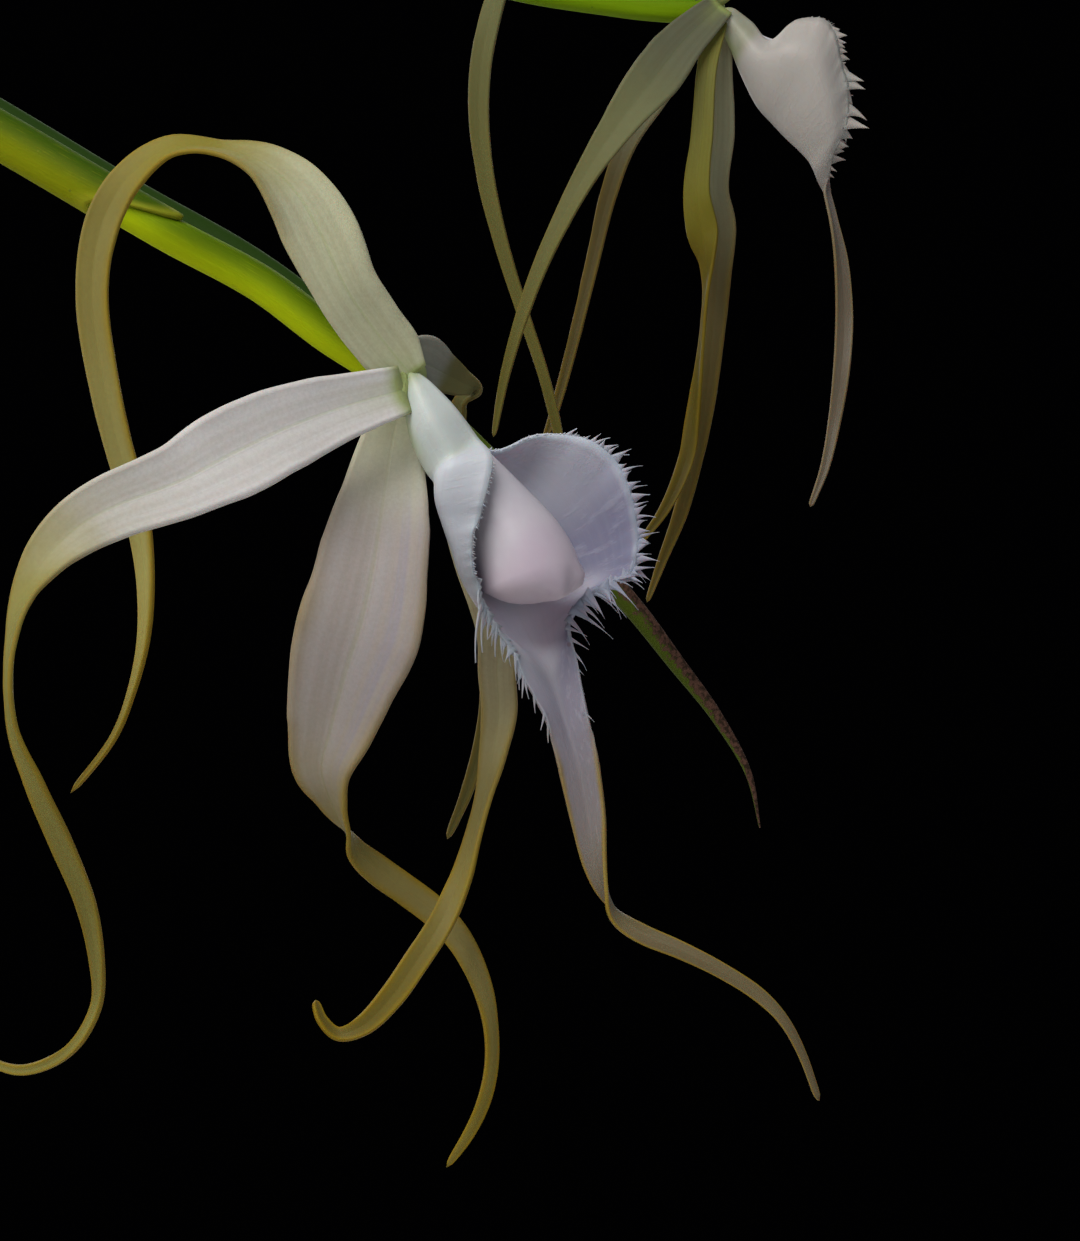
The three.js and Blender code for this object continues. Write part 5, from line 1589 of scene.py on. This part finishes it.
settle(pot, ["pot"], clay, smooth=False)
print("pot finish:", pot.data.materials[0].name)

# %% [markdown]
# ## Bark mix
#
# Orchids grow in loose chips of bark with a little charcoal and a few white crumbs of perlite. A dark
# dome closes the bed from below, and the chips are what is seen. Six chips are modelled once: a cube
# is flattened, bevelled and roughened. Then some hundreds of copies are strewn in a sunflower
# spiral, which covers a disc evenly, with seeded tilt and size. Each copy carries one number, its
# shade, that the material turns into fresh bark, old bark or charcoal.

# %% Make the bed of bark
BARK_EDGE = 84
BARK_TOP = 88
BARK_DOME_RADIUS = 50
BED_GAP = 0.35
BED_DEPTH = 2.5
BED_SIDES = 72


def bark_height(radius):
    return BARK_TOP - (BARK_TOP - BARK_EDGE) * (radius / BARK_DOME_RADIUS) ** 2


def bed_profile():
    """The bed from the middle of its foot, up its wall and to the middle of its dome: radius and height."""
    foot = bore_radius(POT_FLOOR) - BED_GAP
    rim = bore_radius(BARK_EDGE) - BED_GAP
    wall = [(0, POT_FLOOR + BED_GAP), (foot, POT_FLOOR + BED_GAP), (rim, bark_height(rim) - BED_DEPTH)]
    dome = [(rim * part, bark_height(rim * part) - BED_DEPTH) for part in np.linspace(0.97, 0.0, 14)]
    return wall + dome


bed_rows = []
for radius, level in bed_profile():
    turn = np.linspace(0, 2 * math.pi, BED_SIDES + 1)
    level_ring = np.full(BED_SIDES + 1, level)
    ring = np.stack([radius * np.cos(turn), radius * np.sin(turn), level_ring], axis=1)
    ring[-1] = ring[0]
    bed_rows.append(ring)
bed = lay_grid("bark_bed", bed_rows)
close_seams(bed)
print("bed rows:", len(bed_rows))

# %% Strew the chips and the crumbs
CHIP_KINDS = 6
CHIPS = 330
CHIPS_REACH = 45.0
CHIP_SUNK = 1.9
CRUMBS = 30
CRUMBS_REACH = 44.0
GOLDEN_ANGLE = math.radians(137.508)


def set_shade(piece, shade):
    attribute = piece.data.attributes.new("shade", "FLOAT", "POINT")
    attribute.data.foreach_set("value", [shade] * len(piece.data.vertices))


def make_chip(kind):
    chance = random.Random(300 + kind)
    deselect()
    bpy.ops.mesh.primitive_cube_add(size=1)
    chip = bpy.context.object
    chip.name = f"chip_{kind}"
    chip.scale = (chance.uniform(9, 15) * MM, chance.uniform(6, 9) * MM, chance.uniform(2.6, 4.6) * MM)
    bpy.ops.object.transform_apply(location=True, rotation=True, scale=True)
    in_edit_mode(
        chip,
        lambda: bpy.ops.mesh.bevel(offset=0.9 * MM, segments=1, affect="EDGES"),
        lambda: bpy.ops.transform.vertex_random(offset=0.9 * MM, uniform=0.7, seed=40 + kind),
    )
    return chip


def make_crumb():
    deselect()
    bpy.ops.mesh.primitive_ico_sphere_add(subdivisions=2, radius=1.7 * MM, calc_uvs=False)
    crumb = bpy.context.object
    in_edit_mode(crumb, lambda: bpy.ops.transform.vertex_random(offset=0.3 * MM, uniform=0.6, seed=9))
    return crumb


def strewn(model, place, turn, size, shade):
    copy = model.copy()
    copy.data = model.data.copy()
    bpy.context.scene.collection.objects.link(copy)
    copy.location = Vector(place) * MM
    copy.rotation_euler = turn
    copy.scale = (size, size, size)
    set_shade(copy, shade)
    return copy


chance = random.Random(77)
chip_models = [make_chip(kind) for kind in range(CHIP_KINDS)]
chips = []
for number in range(CHIPS):
    reach = CHIPS_REACH * math.sqrt((number + 0.5) / CHIPS)
    angle = number * GOLDEN_ANGLE
    level = bark_height(reach) - CHIP_SUNK + chance.uniform(-1.3, 1.6)
    size = chance.uniform(0.55, 1.0)
    place = (reach * math.cos(angle), reach * math.sin(angle), level)
    tilt = (chance.gauss(0, 0.4), chance.gauss(0, 0.4), chance.uniform(0, 6.28))
    chips.append(strewn(chip_models[number % CHIP_KINDS], place, tilt, size, chance.random()))
chip_heap = join(*chips)
bpy.ops.object.transform_apply(location=True, rotation=True, scale=True)
chip_heap.name = "bark_chips"

crumb_model = make_crumb()
crumbs = []
for number in range(CRUMBS):
    reach = CRUMBS_REACH * math.sqrt(chance.random())
    angle = chance.uniform(0, 6.28)
    level = bark_height(reach) + chance.uniform(-0.4, 1.1)
    place = (reach * math.cos(angle), reach * math.sin(angle), level)
    turn = [chance.uniform(0, 6.28) for _ in range(3)]
    crumbs.append(strewn(crumb_model, place, turn, chance.uniform(0.55, 1.2), 0.5))
crumb_heap = join(*crumbs)
bpy.ops.object.transform_apply(location=True, rotation=True, scale=True)
crumb_heap.name = "perlite_crumbs"
for model in [*chip_models, crumb_model]:
    bpy.data.objects.remove(model)
print("chips:", CHIPS, "crumbs:", CRUMBS, "chip faces:", len(chip_heap.data.polygons))

# %% Dress the bark and the crumbs
bark = Finish("mixed bark", 0.9)
shade_of_chip = bark.wire.node("ShaderNodeAttribute", {"attribute_name": "shade"}, output="Fac")
plates = bark.layers((160, 420, 900), roughness=0.6)
pits = bark.noise(520.0, 4.0)
fresh = plates.smooth(0.35, 0.65).mix((0.30, 0.145, 0.068), (0.48, 0.27, 0.14))
aged = plates.smooth(0.35, 0.65).mix((0.09, 0.047, 0.028), (0.20, 0.12, 0.07))
mixed = shade_of_chip.smooth(0.25, 0.7).mix(aged, fresh)
charred = (1.0 - shade_of_chip.smooth(0.08, 0.12)).mix(mixed, (0.018, 0.017, 0.017))
dusted = (pits.smooth(0.6, 0.75) * 0.3).mix(charred, (0.38, 0.31, 0.24))
bark.set(Base_Color=dusted, Roughness=0.8 + pits * 0.2)
bark.bump(plates + pits * 0.5, 0.7, 0.0006)

soil = Finish("dark bed under the bark", 0.95)
crumble = soil.noise(300.0, 5.0)
soil.set(Base_Color=crumble.mix((0.03, 0.02, 0.014), (0.09, 0.055, 0.035)))
soil.bump(crumble, 0.8, 0.001)

perlite = Finish("white perlite", 0.9)
pores = perlite.specks(900.0)
perlite.set(Base_Color=pores.smooth(0.1, 0.5).mix((0.62, 0.60, 0.55), (0.82, 0.81, 0.78)))
perlite.bump(pores, 0.6, 0.0004)

settle(bed, ["bark_mix"], soil, smooth=False)
settle(chip_heap, [], bark, smooth=False)
settle(crumb_heap, [], perlite)
print("materials in all:", len(bpy.data.materials))

# %% Finish the scene and list the CAD nodes still shown
shown = [name for name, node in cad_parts.items() if not node.hide_render]
print("CAD nodes still shown:", shown)
